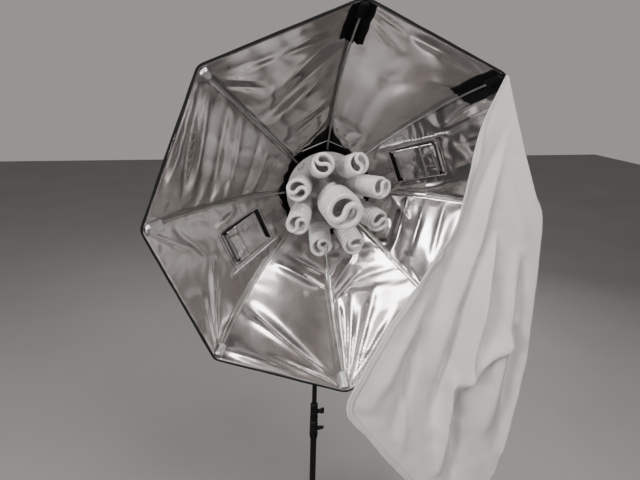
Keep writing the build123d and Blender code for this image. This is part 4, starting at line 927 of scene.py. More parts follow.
# ---------------------------------------------------------------- sewing
def dashes(path, length=4.0, gap=1.0, radius=0.62):
    """Stitches along a path of points."""
    path = np.asarray(path, float)
    steps = np.linalg.norm(np.diff(path, axis=0), axis=1)
    place = np.concatenate([[0], np.cumsum(steps)])
    parts = []
    start = 0.0
    while start + length < place[-1]:
        marks = start + np.array([0, 0.18, 0.5, 0.82, 1]) * length
        points = np.stack([np.interp(marks, place, path[:, k]) for k in range(3)], -1)
        sizes = radius * np.array([0.45, 1, 1, 1, 0.45])
        parts.append(tube_solid(points, sizes, 5))
        start += length + gap
    return parts


def seam_path(gore, start, end, lift, count=60):
    """Points on the lining between two (distance, offset) places."""
    share = np.linspace(0, 1, count)
    distance = start[0] + (end[0] - start[0]) * share
    s = start[1] + (end[1] - start[1]) * share
    return on_lining(gore, distance, s, lift)


def sew_windows():
    """Stitched lines and hook-and-loop squares on the panels round the windows."""
    parts = []
    for gore in WINDOW_GORES:
        parts += dashes(seam_path(gore, (CASING_IN, CASING_LINE), (CASING_OUT, CASING_LINE), 0.3))
        parts += dashes(seam_path(gore, (WINDOW_OUT + 7, -52), (WINDOW_OUT + 7, 62), 0.3))
        parts += dashes(seam_path(gore, (WINDOW_IN - 6, -52), (WINDOW_IN - 6, 54), 0.3))
        parts += dashes(seam_path(gore, (WINDOW_IN - 4, -51), (WINDOW_OUT + 4, -51), 0.3))
        corner = (214.0, 62.0)
        for a, b in (((0, 0), (20, 0)), ((20, 0), (20, 18)), ((20, 18), (0, 18)), ((0, 18), (0, 0))):
            start = (corner[0] + a[0], corner[1] + a[1])
            end = (corner[0] + b[0], corner[1] + b[1])
            parts += dashes(seam_path(gore, start, end, 0.7, 20), 2.6, 0.6, 0.6)
    points, faces = join(parts)
    new_mesh("window_stitches", points, faces, thread_dark.material, "head")


sew_windows()


CASING_ROWS, CASING_SIDES = 220, 18


def make_casings():
    """The gathered sleeve beside each window's hinge: a flattened roll with uneven pleats."""
    place = np.linspace(CASING_IN, CASING_OUT, CASING_ROWS)
    for gore, side in zip(WINDOW_GORES, ("right", "left")):
        path = on_lining(gore, place, CASING_LINE + 2.0 + 1.6 * line_noise(place / 24, 91 + gore), 1.0)
        pleat = 0.72 + 0.28 * np.sin(place * 0.85 + 2.2 * line_noise(place / 18, 93 + gore))
        ends = step_up(place, CASING_IN, CASING_IN + 8) * (1 - step_up(place, CASING_OUT - 8, CASING_OUT))
        side_way = round_axes(HALF + STEP * gore)[1]
        inward = grid_normals(np.stack([path, path + side_way]))[0]
        if inward[0] @ FRONT < 0:
            inward = -inward
        rings = []
        for turn in np.linspace(0, 2 * math.pi, CASING_SIDES, endpoint=False):
            wide = 5.2 * (0.75 + 0.25 * pleat) * (0.3 + 0.7 * ends) * math.cos(turn)
            deep = 2.6 * pleat * (0.2 + 0.8 * ends) * max(math.sin(turn), -0.3)
            rings.append(path + side_way * wide[:, None] + inward * deep[:, None])
        points = np.stack(rings, 1).reshape(-1, 3)
        faces = ring_faces(CASING_ROWS, CASING_SIDES)
        new_mesh(f"window_casing_{side}", points, faces, silver.material, "head")


make_casings()


def window_frames():
    """The edge of each window under its flap: on its open sides black tape, as painted shade in the slit the
    flap leaves, silver hem on the others.
    """
    for gore, side in zip(WINDOW_GORES, ("right", "left")):
        rings = []
        for grow in (1.5, -0.5, -4.0, -9.0):
            low, high, half = WINDOW_IN - grow, WINDOW_OUT + grow, WINDOW_HALF + grow
            corners = [(low, -half), (high, -half), (high, half), (low, half), (low, -half)]
            loop = []
            for a, b in zip(corners, corners[1:]):
                share = np.linspace(0, 1, 25)[:-1, None]
                loop.append(np.array(a) + (np.array(b) - np.array(a)) * share)
            loop = np.concatenate(loop)
            lift = -0.6 if grow > 0 else -0.8 + 0.14 * grow
            rings.append(on_lining(gore, loop[:, 0], loop[:, 1], lift))
        front = np.array(rings)
        normal = grid_normals(front, True)
        points, faces, fronts = sheet_solid(front, front - normal * 0.3, None, True)
        count = len(loop)
        across = np.array([min(p % count for p in face) for face in faces])
        hemmed = ((across >= count // 4) & (across < 3 * count // 4)).astype(int)
        hemmed[fronts:] = 0
        # The black faces are painted shade for the slit between the window's edge and its flap.
        finishes = [black_tape.material, silver.material]
        name = f"window_binding_{side}"
        new_mesh(name, points, faces, finishes, "head", hemmed)


window_frames()


# ---------------------------------------------------------------- window flaps
def flap_axes(node):
    """Centre and axes of a flap: outward along the panel, towards its hinge, and inward off the panel."""
    gore = WINDOW_GORES[0] if node.endswith("right") else WINDOW_GORES[1]
    out, side = round_axes(HALF + STEP * gore)
    ends = [along_arc(arc_place(d)) for d in (WINDOW_IN, WINDOW_OUT)]
    run, rise = ends[1][0] - ends[0][0], ends[1][1] - ends[0][1]
    length = math.hypot(run, rise)
    along = (out * run + FRONT * rise) / length
    inward = (-out * rise + FRONT * run) / length
    low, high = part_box(node)
    centre = np.array((low + high) / 2) / MM
    return centre, along, side, inward


FLAP_LONG, FLAP_WIDE = 101.6, 87.6
FLAP_OVERLAP = 3.0  # on the rim side


def flap_lift(a, b):
    """Height of a flap's cloth: its outer third folds over, and creases run across it."""
    fold = step_up(a, 18.0, 24.0)
    lift = 1.4 * fold + 0.9 * smooth_noise(a / 24, b / 30, 101) + 0.15 * smooth_noise(a / 9, b / 11, 102)
    lift = lift + 3.2 * bell(b - 12 - 0.35 * a, 5.0) * step_up(a, 10.0, 46.0)
    lift = lift - 2.2 * bell(b + 14 + 0.2 * a, 6.0) * step_up(a, 14.0, 40.0)
    lift = lift + 2.6 * bell(a - 21.5, 1.8)
    edge = np.minimum(FLAP_LONG / 2 - np.abs(a), FLAP_WIDE / 2 - np.abs(b))
    return lift + 1.1 * bell(edge - 2.0, 1.6)


def make_flap(side):
    """One window flap: silver inside, black outside, with a stitched square and a hemmed edge."""
    node = f"window_flap_{side}"
    centre, along, across, inward = flap_axes(node)
    a = np.linspace(-FLAP_LONG / 2, FLAP_LONG / 2, 52)[:, None]
    b = np.linspace(-FLAP_WIDE / 2, FLAP_WIDE / 2, 46)[None, :]
    a, b = np.broadcast_arrays(a, b)
    pull = 1 - 0.020 * np.cos(b / FLAP_WIDE * math.pi) ** 2
    lift = flap_lift(a, b)

    def at(a, b, lift):
        return centre + a[..., None] * along + b[..., None] * across + lift[..., None] * inward

    reach_a = a * pull + FLAP_OVERLAP * step_up(a, 0.0, FLAP_LONG / 2)
    front = at(reach_a, b, lift + 0.4)
    back = at(reach_a, b, lift - 0.7)
    points, faces, count = sheet_solid(front, back)
    marks = [0] * count + [1] * (len(faces) - count)
    finishes = [silver.material, black_nylon.material]
    name = f"flap_{side}"
    new_mesh(name, points, faces, finishes, node, marks, replaces=node)
    sew_flap(side, node, at)


def sew_flap(side, node, at):
    """The stitched square of a flap and the rows of stitches in its hems."""
    parts = []
    corners = [(-14, -34), (6, -34), (6, -16), (-14, -16), (-14, -34)]
    for p, q in zip(corners, corners[1:]):
        share = np.linspace(0, 1, 16)
        line_a, line_b = p[0] + (q[0] - p[0]) * share, p[1] + (q[1] - p[1]) * share
        parts += dashes(at(line_a, line_b, flap_lift(line_a, line_b) + 0.5), 2.6, 0.6, 0.6)
    for offset in (-FLAP_WIDE / 2 + 4, FLAP_WIDE / 2 - 4):
        line_a = np.linspace(-FLAP_LONG / 2 + 4, FLAP_LONG / 2 - 4, 50)
        line_b = np.full(50, offset)
        parts += dashes(at(line_a, line_b, flap_lift(line_a, line_b) + 0.45), 3.0, 1.4, 0.35)
    points, faces = join(parts)
    new_mesh(f"flap_stitches_{side}", points, faces, thread_dark.material, node)


make_flap("right")
make_flap("left")


# ---------------------------------------------------------------- rim binding, skirt, pockets and tabs
def rim_path(radius, reach, wobble, seed, per_side=44):
    """A closed path round the octagon, with rounded corners and a slight waver."""
    points = []
    for side in range(GORES):
        start = np.array([math.cos(STEP * side), math.sin(STEP * side)]) * radius
        end = np.array([math.cos(STEP * (side + 1)), math.sin(STEP * (side + 1))]) * radius
        share = np.linspace(0, 1, per_side, endpoint=False)[:, None]
        points.append(start + (end - start) * share)
    flat = np.concatenate(points)
    for _ in range(2):
        flat = (np.roll(flat, 1, 0) + 2 * flat + np.roll(flat, -1, 0)) / 4
    around = np.arange(len(flat)) / per_side
    shift = wobble * line_noise(around * 6, seed) * np.sin(math.pi * (around % 1))
    outward = flat / np.linalg.norm(flat, axis=1, keepdims=True)
    flat = flat + outward * shift[:, None]
    depth = reach + wobble * 0.6 * line_noise(around * 5, seed, 3)
    return np.stack([flat[:, 0], -depth, AXIS + flat[:, 1]], -1), outward


# Section of the folded tape: outward, forward.
BINDING_OUTLINE = (
    (-2.2, 3.2), (0.4, 3.5), (2.1, 2.7), (2.9, 0.9),
    (2.8, -1.2), (1.9, -2.9), (0.0, -3.4), (-2.2, -3.1),
)


def make_binding():
    """The tape folded over the rim: a flattened roll, rounded outside, open towards the cloth."""
    path, outward = rim_path(RIM_RADIUS + 2.6, RIM_REACH - 1.6, 0.7, 121)
    out3 = np.stack([outward[:, 0], 0 * outward[:, 0], outward[:, 1]], -1)
    count = len(path)
    swell = 1 + 0.10 * line_noise(np.arange(count) / 3.0, 122)
    rings = [path + (out3 * a + FRONT * b * 0.62) * swell[:, None] for a, b in BINDING_OUTLINE]
    points, faces = np.array(rings).reshape(-1, 3), loop_faces(len(BINDING_OUTLINE), count)
    new_mesh(
        "binding_tape", points, faces, black_tape.material, "head",
        replaces="rim_binding",
    )
    stitch_path, _ = rim_path(RIM_RADIUS + 1.7, RIM_REACH + 0.65, 0.7, 121)
    closed = np.concatenate([stitch_path, stitch_path[:1]])
    points, faces = join(dashes(closed, 4.2, 2.0, 0.4))
    new_mesh("binding_stitches", points, faces, thread_black.material, "head")


make_binding()


SKIRT_POINTS, SKIRT_PLEATS, SKIRT_NECK = 512, 64, 102.5
ELASTIC_SIDES = 10


def circle_points(around, radius, reach):
    """World points round the lamp axis."""
    across = radius * np.cos(around)
    return np.stack([across, np.full(len(around), -reach), AXIS + radius * np.sin(around)], -1)


def make_skirt():
    """The gathered sleeve that closes the shell on the housing, with an elastic edge at its back."""
    back_reach, front_reach = -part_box("rear_skirt")[1].y / MM, HOLE_REACH - 1.0
    around = np.linspace(0, 2 * math.pi, SKIRT_POINTS, endpoint=False)
    flat = COS_HALF / np.cos((around % STEP) - HALF)
    rows = []
    for share in np.linspace(0, 1, 18):
        reach = back_reach + (front_reach - back_reach) * share
        octagon = step_up(share, 0.2, 1.0)
        outer = (HOLE_RADIUS - 1.5) * (flat * octagon + (1 - octagon))
        radius = SKIRT_NECK + (outer - SKIRT_NECK) * share ** 1.15
        phase = around * SKIRT_PLEATS + 2 * line_noise(around * 6, 131)
        gather = (1 - share) ** 0.7 * 1.5 * np.sin(phase)
        bulge = 2.5 * math.sin(math.pi * share) * (1 + line_noise(around * 5, 132, share * 3))
        radius = radius + gather + bulge
        rows.append(circle_points(around, radius, reach))
    grid = np.array(rows)
    normal = grid_normals(grid, True)
    points, faces, _ = sheet_solid(grid, grid + normal * 0.9, None, True)
    new_mesh(
        "skirt_sleeve", points, faces, black_nylon.material, "head",
        replaces="rear_skirt",
    )
    roll = []
    for k in range(ELASTIC_SIDES):
        turn = 2 * math.pi * k / ELASTIC_SIDES
        radius = SKIRT_NECK + 1.5 + 2.3 * math.cos(turn) + 0.8 * np.sin(around * SKIRT_PLEATS)
        reach = back_reach + 3.0 + 2.6 * math.sin(turn)
        roll.append(circle_points(around, radius, reach))
    points, faces = np.array(roll).reshape(-1, 3), loop_faces(ELASTIC_SIDES, SKIRT_POINTS, True)
    new_mesh("skirt_elastic", points, faces, black_tape.material, "head")


make_skirt()

RIB_ROOT, RIB_TIP, RIB_BOW = (112.0, 87.0), (439.5, 380.5), 36.0


def rib_point(rib, back_from_tip):
    """A point on a rod's centre line, its forward direction and its inward direction."""
    centre, radius, _, last = arc_through(RIB_ROOT, RIB_TIP, RIB_BOW)
    angle = last - back_from_tip / radius
    r, reach = centre[0] + radius * math.cos(angle), centre[1] + radius * math.sin(angle)
    out = round_axes(STEP * rib)[0]
    point = out * r + FRONT * reach + np.array([0, 0, AXIS])
    forward = out * -math.sin(angle) + FRONT * math.cos(angle)
    inward = out * -math.cos(angle) + FRONT * -math.sin(angle)
    return point, forward, inward


# Length, half width and half depth of the sleeve on each rod.
POCKETS = {
    0: (40, 8.5, 6.2), 3: (26, 8.5, 6.4), 4: (46, 11.5, 6.6),
    5: (32, 9.0, 6.6), 6: (44, 10.0, 6.8), 7: (40, 9.0, 6.2),
}
# Sections along a sleeve: share of its length, share of its width. The first two lie round the rod.
POCKET_SECTIONS = (
    (0.16, 0.44), (0.08, 0.46), (0.0, 0.70), (0.0, 0.92), (0.03, 1.0), (0.10, 0.98), (0.22, 0.92),
    (0.36, 0.90), (0.50, 0.93), (0.64, 0.97), (0.78, 1.0), (0.90, 1.0), (0.97, 0.88), (1.02, 0.55),
    (1.03, 0.2),
)
ROD_CLEARANCE = 4.2


def make_pocket(rib, number):
    """A folded sleeve over a rod's tip: flattened, flared at its mouth, pinched at its end."""
    length, half_width, half_depth = POCKETS[rib]
    sides = 36
    turn = np.linspace(0, 2 * math.pi, sides, endpoint=False)
    rings = []
    for index, (share, size) in enumerate(POCKET_SECTIONS):
        point, forward, inward = rib_point(rib, length * (1 - share) - 1.0)
        side = np.cross(forward, inward)
        wrinkle = 0.55 * smooth_noise(turn * 2.2 + number * 5, np.full(sides, share * 5.0), 141)
        wrinkle = wrinkle * (0 if index < 2 else 1)
        wide = half_width * size * (1 + 0.12 * share) if index >= 2 else ROD_CLEARANCE
        deep = half_depth * size if index >= 2 else ROD_CLEARANCE
        c, s = np.cos(turn), np.sin(turn)
        shape_c = np.sign(c) * np.abs(c) ** 0.8
        shape_s = np.sign(s) * np.abs(s) ** 0.9
        fin = 1.6 * np.exp(-((turn - 1.2) / 0.18) ** 2) * (index > 3)
        offset_in = -0.8 * (index >= 2)
        height = shape_s * (deep + wrinkle + fin) + offset_in
        rings.append(point + side * (shape_c * (wide + wrinkle))[:, None] + inward * height[:, None])
    points, faces = np.concatenate(rings), ring_faces(len(rings), sides)
    name = f"pocket_{number}"
    pocket = new_mesh(name, points, faces, pocket_silver.material, "head")
    sew_pocket(rib, number)
    return pocket


def sew_pocket(rib, number):
    """Two rows of stitches along a pocket."""
    length, half_width, half_depth = POCKETS[rib]
    parts = []
    for shift in (-0.5, 0.5):
        line = []
        for share in np.linspace(0.06, 0.92, 24):
            point, forward, inward = rib_point(rib, length * (1 - share) - 1.0)
            side = np.cross(forward, inward)
            line.append(point + side * half_width * shift + inward * (half_depth * 0.86 - 0.4))
        parts += dashes(line, 2.8, 1.3, 0.35)
    points, faces = join(parts)
    new_mesh(f"pocket_stitches_{number}", points, faces, thread_white.material, "head")


pockets = [make_pocket(rib, number) for number, rib in enumerate(POCKET_RIBS, 1)]
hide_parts("corner_pockets")

TAB_LONG, TAB_HALF = 86.0, 26.0
# Sections of the strap over a rod's tip: distance back from the tip, half width, half depth, drop.
STRAP_SECTIONS = (
    (31, 4.0, 4.0, 0.0), (35, 4.0, 4.0, 0.0), (35, 10.5, 5.2, 0.9),
    (28, 11.13, 5.512, 0.9), (18, 10.5, 5.2, 0.9), (8, 11.025, 5.46, 0.9),
    (1, 10.5, 5.2, 0.9), (-3.5, 7.35, 3.64, 0.9), (-4.5, 2.0, 1.2, 0.0),
)


def make_tab(rib, number):
    """A black patch over the cloth at one corner, its inner end ragged."""
    rows, cols = 30, 41
    share = np.linspace(0, 1, rows)[:, None]
    across = np.linspace(-1, 1, cols)[None, :]
    share, across = np.broadcast_arrays(share, across)
    ragged = 3.2 * smooth_noise(across * 9, 0 * across, 151 + number)
    ragged = ragged + 1.4 * smooth_noise(across * 23, 0 * across, 161 + number)
    length = TAB_LONG + ragged + 7 * across * (1 if number == 1 else -1)
    back = (1 - share) * length
    half = TAB_HALF * (1 + 0.10 * (1 - share)) + 1.5 * smooth_noise(share * 6, np.sign(across), 155 + number)
    offset = across * half
    radius = RIM_RADIUS - 1.0 - back * 0.80
    room = (RIM_RADIUS - 1.0 - radius) / TAN_HALF + 1.5
    offset = np.clip(offset, -room, room)
    distance = radius * COS_HALF + np.abs(offset) * math.sin(HALF)
    s_edge = radius * math.sin(HALF) - np.abs(offset) * COS_HALF
    front = np.zeros((rows, cols, 3))
    behind = np.zeros((rows, cols, 3))
    for gore, sign in ((rib, 1), (rib - 1, -1)):
        chosen = (np.sign(offset) == sign) | ((offset == 0) & (sign == 1))
        s = -s_edge * sign
        limited = np.clip(distance, 150, FLAT_RIM[0] - 0.4)
        waver = 0.6 * smooth_noise(share * 5, across * 4, 171 + number)
        top = on_lining(gore, limited, s, 1.9 + waver)
        low = on_lining(gore, limited, s, 0.7 + waver)
        front[chosen] = top[chosen]
        behind[chosen] = low[chosen]
    points, faces, _ = sheet_solid(front, behind)
    name = f"corner_tab_{number}"
    return new_mesh(name, points, faces, black_tab.material, "head")


def make_strap(rib, number):
    """The band that folds over a rod's tip and holds it to the corner."""
    sides = 28
    turn = np.linspace(0, 2 * math.pi, sides, endpoint=False)
    rings = []
    for place, wide, deep, drop in STRAP_SECTIONS:
        point, forward, inward = rib_point(rib, place)
        side = np.cross(forward, inward)
        height = np.sin(turn) * deep - drop
        rings.append(point + side * (np.cos(turn) * wide)[:, None] + inward * height[:, None])
    points, faces = np.concatenate(rings), ring_faces(len(rings), sides)
    new_mesh(f"tab_strap_{number}", points, faces, black_tab.material, "head")


for number, rib in enumerate(TAB_RIBS, 1):
    tab = make_tab(rib, number)
    make_strap(rib, number)
    if number == 1:
        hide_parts("corner_tabs")

# ---------------------------------------------------------------- spiral lamps
OUTER_COIL = (24.75, 4.75, 11.0, 7.5, 76.0, 9.0)
CENTRE_COIL = (39.75, 8.25, 19.0, 5.5, 96.0, 14.0)
LAMP_CIRCLE, LAMP_SPLAY = 65.0, math.radians(18.0)


def coil_path(coil, steps_per_turn):
    """Centre line of a two-strand coil joined by an S-shaped bridge, standing on its base."""
    radius, _, spacing, rings, base_top, dive = coil
    turns = rings / 2
    top = base_top + dive / 2 + spacing * rings
    turn = np.linspace(turns, 0, round(turns * steps_per_turn) + 1)
    angle = 2 * math.pi * turn
    height = -2 * spacing * turn
    lead = np.clip(1 - (turns - turn) / 0.16, 0, 1)
    height = height - dive * lead**2
    strand = np.stack([radius * np.cos(angle), -radius * np.sin(angle), height], -1)
    swept = math.pi * np.arange(1, 12) / 12
    crown = spacing / 4
    rise = crown * (1 - (1 - swept / math.pi) ** 2)
    bridge = np.stack([radius / 2 * (1 + np.cos(swept)), radius / 2 * np.sin(swept), rise], -1)
    half = np.concatenate([strand, bridge])
    other = half[::-1] * np.array([-1, -1, 1])
    path = np.concatenate([half, [[0, 0, crown]], other])
    soften(path, 3)
    return path + np.array([0, 0, top])


def lamp_axes(number):
    """Origin and axes of a lamp: number 0 is the centre lamp, 1 to 8 the outer ones."""
    if number == 0:
        return np.array([0, -PLATE_REACH, AXIS]), np.array([[1, 0, 0], [0, 0, 1], [0, -1, 0]], float)
    radial, tangent = round_axes(HALF + STEP * (number - 1))
    c, s = math.cos(LAMP_SPLAY), math.sin(LAMP_SPLAY)
    origin = radial * LAMP_CIRCLE + FRONT * PLATE_REACH + np.array([0, 0, AXIS])
    return origin, np.array([radial * c - FRONT * s, tangent, radial * s + FRONT * c])


def make_lamps():
    """Smooth glass spirals on the CAD lamps' places."""
    detail = 36
    sides = 16
    outer = []
    for number in range(1, 9):
        origin, axes = lamp_axes(number)
        outer.append(tube_solid(coil_path(OUTER_COIL, detail) @ axes + origin, OUTER_COIL[1], sides))
    points, faces = join(outer)
    new_mesh(
        "outer_spirals", points, faces, glass.material, "head",
        replaces="outer_lamp_tubes",
    )
    origin, axes = lamp_axes(0)
    path = coil_path(CENTRE_COIL, detail + 12) @ axes + origin
    points, faces = tube_solid(path, CENTRE_COIL[1], sides + 6)
    new_mesh(
        "centre_spiral", points, faces, glass.material, "head",
        replaces="centre_lamp_tube",
    )


make_lamps()

# ---------------------------------------------------------------- front diffuser
# Reach and rise of points down the hanging cloth.
HANG = ((388.0, 335.0), (394.0, 150.0), (420.0, -50.0), (475.0, -350.0), (512.0, -760.0))
# Edges of the hanging cloth in (x, rise) from the lamp axis.
LEFT_EDGE = (
    (316, 318), (276, 221), (252, 120), (228, 4), (180, -75), (126, -139),
    (80, -208), (43, -272), (5, -345), (-20, -395), (-25, -422),
)
RIGHT_EDGE = (
    (322, 316), (356, 232), (394, 140), (424, 62), (449, 0), (446, -150),
    (436, -300), (422, -440), (405, -560), (388, -630), (370, -684),
)
HEM_EDGE = (
    (-25, -422), (-16, -452), (29, -507), (76, -572), (125, -632), (162, -680),
    (200, -715), (245, -738), (290, -742), (332, -722), (370, -684),
)
SHEET_ROWS, SHEET_COLS = ((150, 100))


def smooth_line(points, count):
    """A smooth line through points, evenly spaced by point number."""
    points = np.asarray(points, float)
    place = np.linspace(0, len(points) - 1, count)
    k = np.clip(np.floor(place).astype(int), 0, len(points) - 2)
    t = (place - k)[:, None]
    padded = np.concatenate([2 * points[:1] - points[1:2], points, 2 * points[-1:] - points[-2:-1]])
    p0, p1, p2, p3 = padded[k], padded[k + 1], padded[k + 2], padded[k + 3]
    bend = (2 * p0 - 5 * p1 + 4 * p2 - p3) * t**2 + (3 * p1 - p0 - 3 * p2 + p3) * t**3
    return 0.5 * (2 * p1 + (p2 - p0) * t + bend)


def sheet_outline_grid():
    """(x, rise) of the diffuser's grid, filled in between its edges, from its top corner down."""
    left, right = smooth_line(LEFT_EDGE, SHEET_ROWS), smooth_line(RIGHT_EDGE, SHEET_ROWS)
    bottom = smooth_line(HEM_EDGE, SHEET_COLS)
    top = np.linspace(left[0], right[0], SHEET_COLS)
    u = np.linspace(0, 1, SHEET_COLS)[None, :, None]
    v = np.linspace(0, 1, SHEET_ROWS)[:, None, None]
    across = left[:, None] * (1 - u) + right[:, None] * u
    down = top[None] * (1 - v) + bottom[None] * v
    corners = (left[0] * (1 - u) + right[0] * u) * (1 - v) + (left[-1] * (1 - u) + right[-1] * u) * v
    return across + down - corners


# Folds of the hanging cloth in (x, rise): start, end, width, height forward, spread, power.
SHEET_FOLDS = (
    ((330, 290), (40, -330), 26, 9, 0.6, 1.8),
    ((345, 250), (150, -330), 20, -8, 0.6, 1.7),
    ((352, 240), (200, -380), 18, 8, 0.6, 1.6),
    ((286, -60), (190, -500), 15, -20, 0.4, 1.5),
    ((330, -20), (236, -480), 17, 17, 0.4, 1.5),
    ((420, -240), (210, -400), 14, 13, 0.3, 1.4),
    ((234, -340), (214, -640), 10, 15, 0.3, 1.3),
    ((250, -330), (262, -690), 15, -10, 0.3, 1.5),
    ((390, -60), (330, -560), 22, 11, 0.3, 1.7),
    ((412, -80), (380, -600), 20, -12, 0.3, 1.7),
    ((170, -160), (20, -440), 20, 7, 0.4, 1.7),
    ((150, -240), (90, -520), 17, -7, 0.4, 1.7),
    ((110, -320), (118, -560), 11, 5, 0.3, 1.5),
)
FOLD_DEPTH = 2.3  # all those heights are multiplied by this


def sheet_reach(x, rise):
    """Reach of the hanging cloth in front of the stand's axis."""
    levels = np.array([p[1] for p in HANG])[::-1]
    depths = np.array([p[0] for p in HANG])[::-1]
    reach = np.interp(rise, levels, depths) + 3.0
    folds = 0 * x
    for start, end, width, height, spread, power in SHEET_FOLDS:
        folds = folds + ridge(x, rise, start, end, width, height, spread, power)
    lean = x + 0.42 * rise
    folds = folds + 2.4 * smooth_noise(lean / 70, rise / 420, 181)
    folds = folds + 1.0 * smooth_noise(lean / 26, rise / 260, 182)
    folds = folds + 0.5 * smooth_noise(x / 34, rise / 30, 183)
    free = step_up(-rise, -300.0, 40.0)
    held = step_up(RIM_RADIUS - x - 0.40 * np.maximum(rise, 0), 0, 60)
    return reach + FOLD_DEPTH * folds * free * (0.35 + 0.65 * held)


def lay_threads(piece, points):
    """UVs that run with the hanging cloth, in metres."""
    uv = piece.data.uv_layers.new(name="cloth")
    corners = np.zeros(len(piece.data.loops), np.int32)
    piece.data.loops.foreach_get("vertex_index", corners)
    spots = np.asarray(points)[corners] * MM
    uv.data.foreach_set("uv", spots[:, [0, 2]].astype(np.float32).ravel())


def make_diffuser():
    """The white front cloth, held along the right of the rim, with a hem round it."""
    flat = sheet_outline_grid()
    x, rise = flat[..., 0], flat[..., 1]
    front = np.stack([x, -sheet_reach(x, rise), AXIS + rise], -1)
    normal = grid_normals(front)
    if normal[..., 1].mean() > 0:
        normal = -normal
    points, faces, _ = sheet_solid(front, front - normal * 0.7)
    sheet = new_mesh(
        "diffuser_cloth", points, faces, diffusion.material, "head",
        replaces="diffuser",
    )
    lay_threads(sheet, points)
    make_hem(front, normal)


HEM_WIDTH = 13.0
# Section of the hem: share of its width, height.
HEM_SECTION = (
    (-0.10, 0.2), (0.02, 2.0), (0.14, 2.7), (0.30, 1.5),
    (0.52, 2.9), (0.80, 1.6), (0.96, 2.3), (1.02, 0.4),
)


def make_hem(front, normal):
    """A doubled band along the cloth's free edges, with two rows of stitches."""
    edge = np.concatenate([front[:, 0], front[-1, 1:]])
    lift = np.concatenate([normal[:, 0], normal[-1, 1:]])
    inner = np.concatenate([front[:, 3], front[-4, 1:]])
    count = len(edge)
    soften(inner, 6)
    toward = inner - edge
    tangent = np.gradient(edge, axis=0)
    tangent /= np.linalg.norm(tangent, axis=1, keepdims=True)
    toward -= tangent * np.sum(toward * tangent, 1, keepdims=True)
    toward /= np.maximum(np.linalg.norm(toward, axis=1, keepdims=True), 1e-6)
    soften(toward, 8)
    soften(lift, 8)
    place = np.linspace(0, 1, count)
    wide = HEM_WIDTH * step_up(place, 0.0, 0.12) * (1 - step_up(place, 0.97, 1.0)) + 2.0
    fronts, backs = [], []
    for share, height in HEM_SECTION:
        line = edge + toward * (wide * share)[:, None]
        fronts.append(line + lift * height)
        backs.append(line - lift * (0.9 + 0.35 * height))
    points, faces, _ = sheet_solid(np.array(fronts), np.array(backs))
    hem = new_mesh("diffuser_hem", points, faces, diffusion.material, "head")
    lay_threads(hem, points)
    parts = []
    for share, height in ((0.30, 1.75), (0.80, 1.85)):
        line = edge + toward * (wide * share)[:, None] + lift * height
        parts += dashes(line[8:-2], 3.4, 1.6, 0.5)
    points, faces = join(parts)
    new_mesh("hem_stitches", points, faces, thread_grey.material, "head")


make_diffuser()


# ---------------------------------------------------------------- floor, light and camera
FLOOR_SIZE = 9.0
# Painted light and shade on the floor, which only reflections see: place across it in metres, colour.
REFLECTED_FLOOR_SHADE_BANDS = (
    (-3.0, (0.010, 0.0105, 0.012)),
    (-0.90, (0.012, 0.012, 0.013)),
    (-0.30, (0.215, 0.197, 0.190)),
    (0.15, (0.21, 0.193, 0.187)),
    (0.75, (0.125, 0.114, 0.109)),
    (3.0, (0.135, 0.127, 0.122)),
)


def painted_floor_reflection(finish):
    """Painted bands of light and shade across the floor, for reflections only, broken up by soft noise."""
    tree = finish.tree
    split = tree.nodes.new("ShaderNodeSeparateXYZ")
    finish.link(finish.coords.outputs["Object"], split.inputs["Vector"])
    drift = finish.spread(finish.noise(2.2, 2.0, warp=0.5), 0.3, 0.7, -0.45, 0.45)
    place = math_node(tree, "ADD", split.outputs["X"], drift)
    first, last = REFLECTED_FLOOR_SHADE_BANDS[0][0], REFLECTED_FLOOR_SHADE_BANDS[-1][0]
    ramp = tree.nodes.new("ShaderNodeValToRGB")
    ramp.color_ramp.interpolation = "EASE"
    elements = ramp.color_ramp.elements
    elements[0].color = (*REFLECTED_FLOOR_SHADE_BANDS[0][1], 1)
    elements[-1].color = (*REFLECTED_FLOOR_SHADE_BANDS[-1][1], 1)
    for middle, colour in REFLECTED_FLOOR_SHADE_BANDS[1:-1]:
        elements.new((middle - first) / (last - first)).color = (*colour, 1)
    finish.link(finish.spread(place, first, last, 0.0, 1.0), ramp.inputs["Fac"])
    return ramp.outputs["Color"]


def make_floor():
    """A plain pale floor; reflections see it darker, through painted bands of light and shade."""
    finish = Finish("floor", (0.55, 0.54, 0.53), 0.7)
    pale = finish.tint(finish.noise(1.2, 4.0), (0.52, 0.512, 0.50), (0.56, 0.552, 0.54))
    finish.bump(finish.noise(40.0, 4.0), 0.1, 0.001)
    finish.shader.inputs["Specular IOR Level"].default_value = 0.0
    path = finish.tree.nodes.new("ShaderNodeLightPath")
    # Reflections see painted bands of light and shade in place of the pale floor.
    mirrored = painted_floor_reflection(finish)
    colour = mix_colours(finish.tree, path.outputs["Is Glossy Ray"], pale, mirrored)
    finish.link(colour, finish.shader.inputs["Base Color"])
    size = FLOOR_SIZE / MM
    points = [(-size, -size, 0), (size, -size, 0), (size, size, 0), (-size, size, 0)]
    new_mesh("floor", points, [(0, 1, 2, 3)], finish.material)


make_floor()


def world_lobe(tree, direction, sharpness, strength, ray):
    """Brightness of one broad soft patch of the surroundings."""
    aim = Vector(direction).normalized()
    dot = tree.nodes.new("ShaderNodeVectorMath")
    dot.operation = "DOT_PRODUCT"
    dot.inputs[1].default_value = aim
    tree.links.new(ray, dot.inputs[0])
    off_aim = math_node(tree, "SUBTRACT", dot.outputs["Value"], 1.0)
    fall = math_node(tree, "EXPONENT", math_node(tree, "MULTIPLY", off_aim, sharpness))
    return math_node(tree, "MULTIPLY", fall, strength)


SOFT_LIGHT = (0.15, 0.147, 0.144, 1)
BACKDROP = (0.34, 0.322, 0.308, 1)
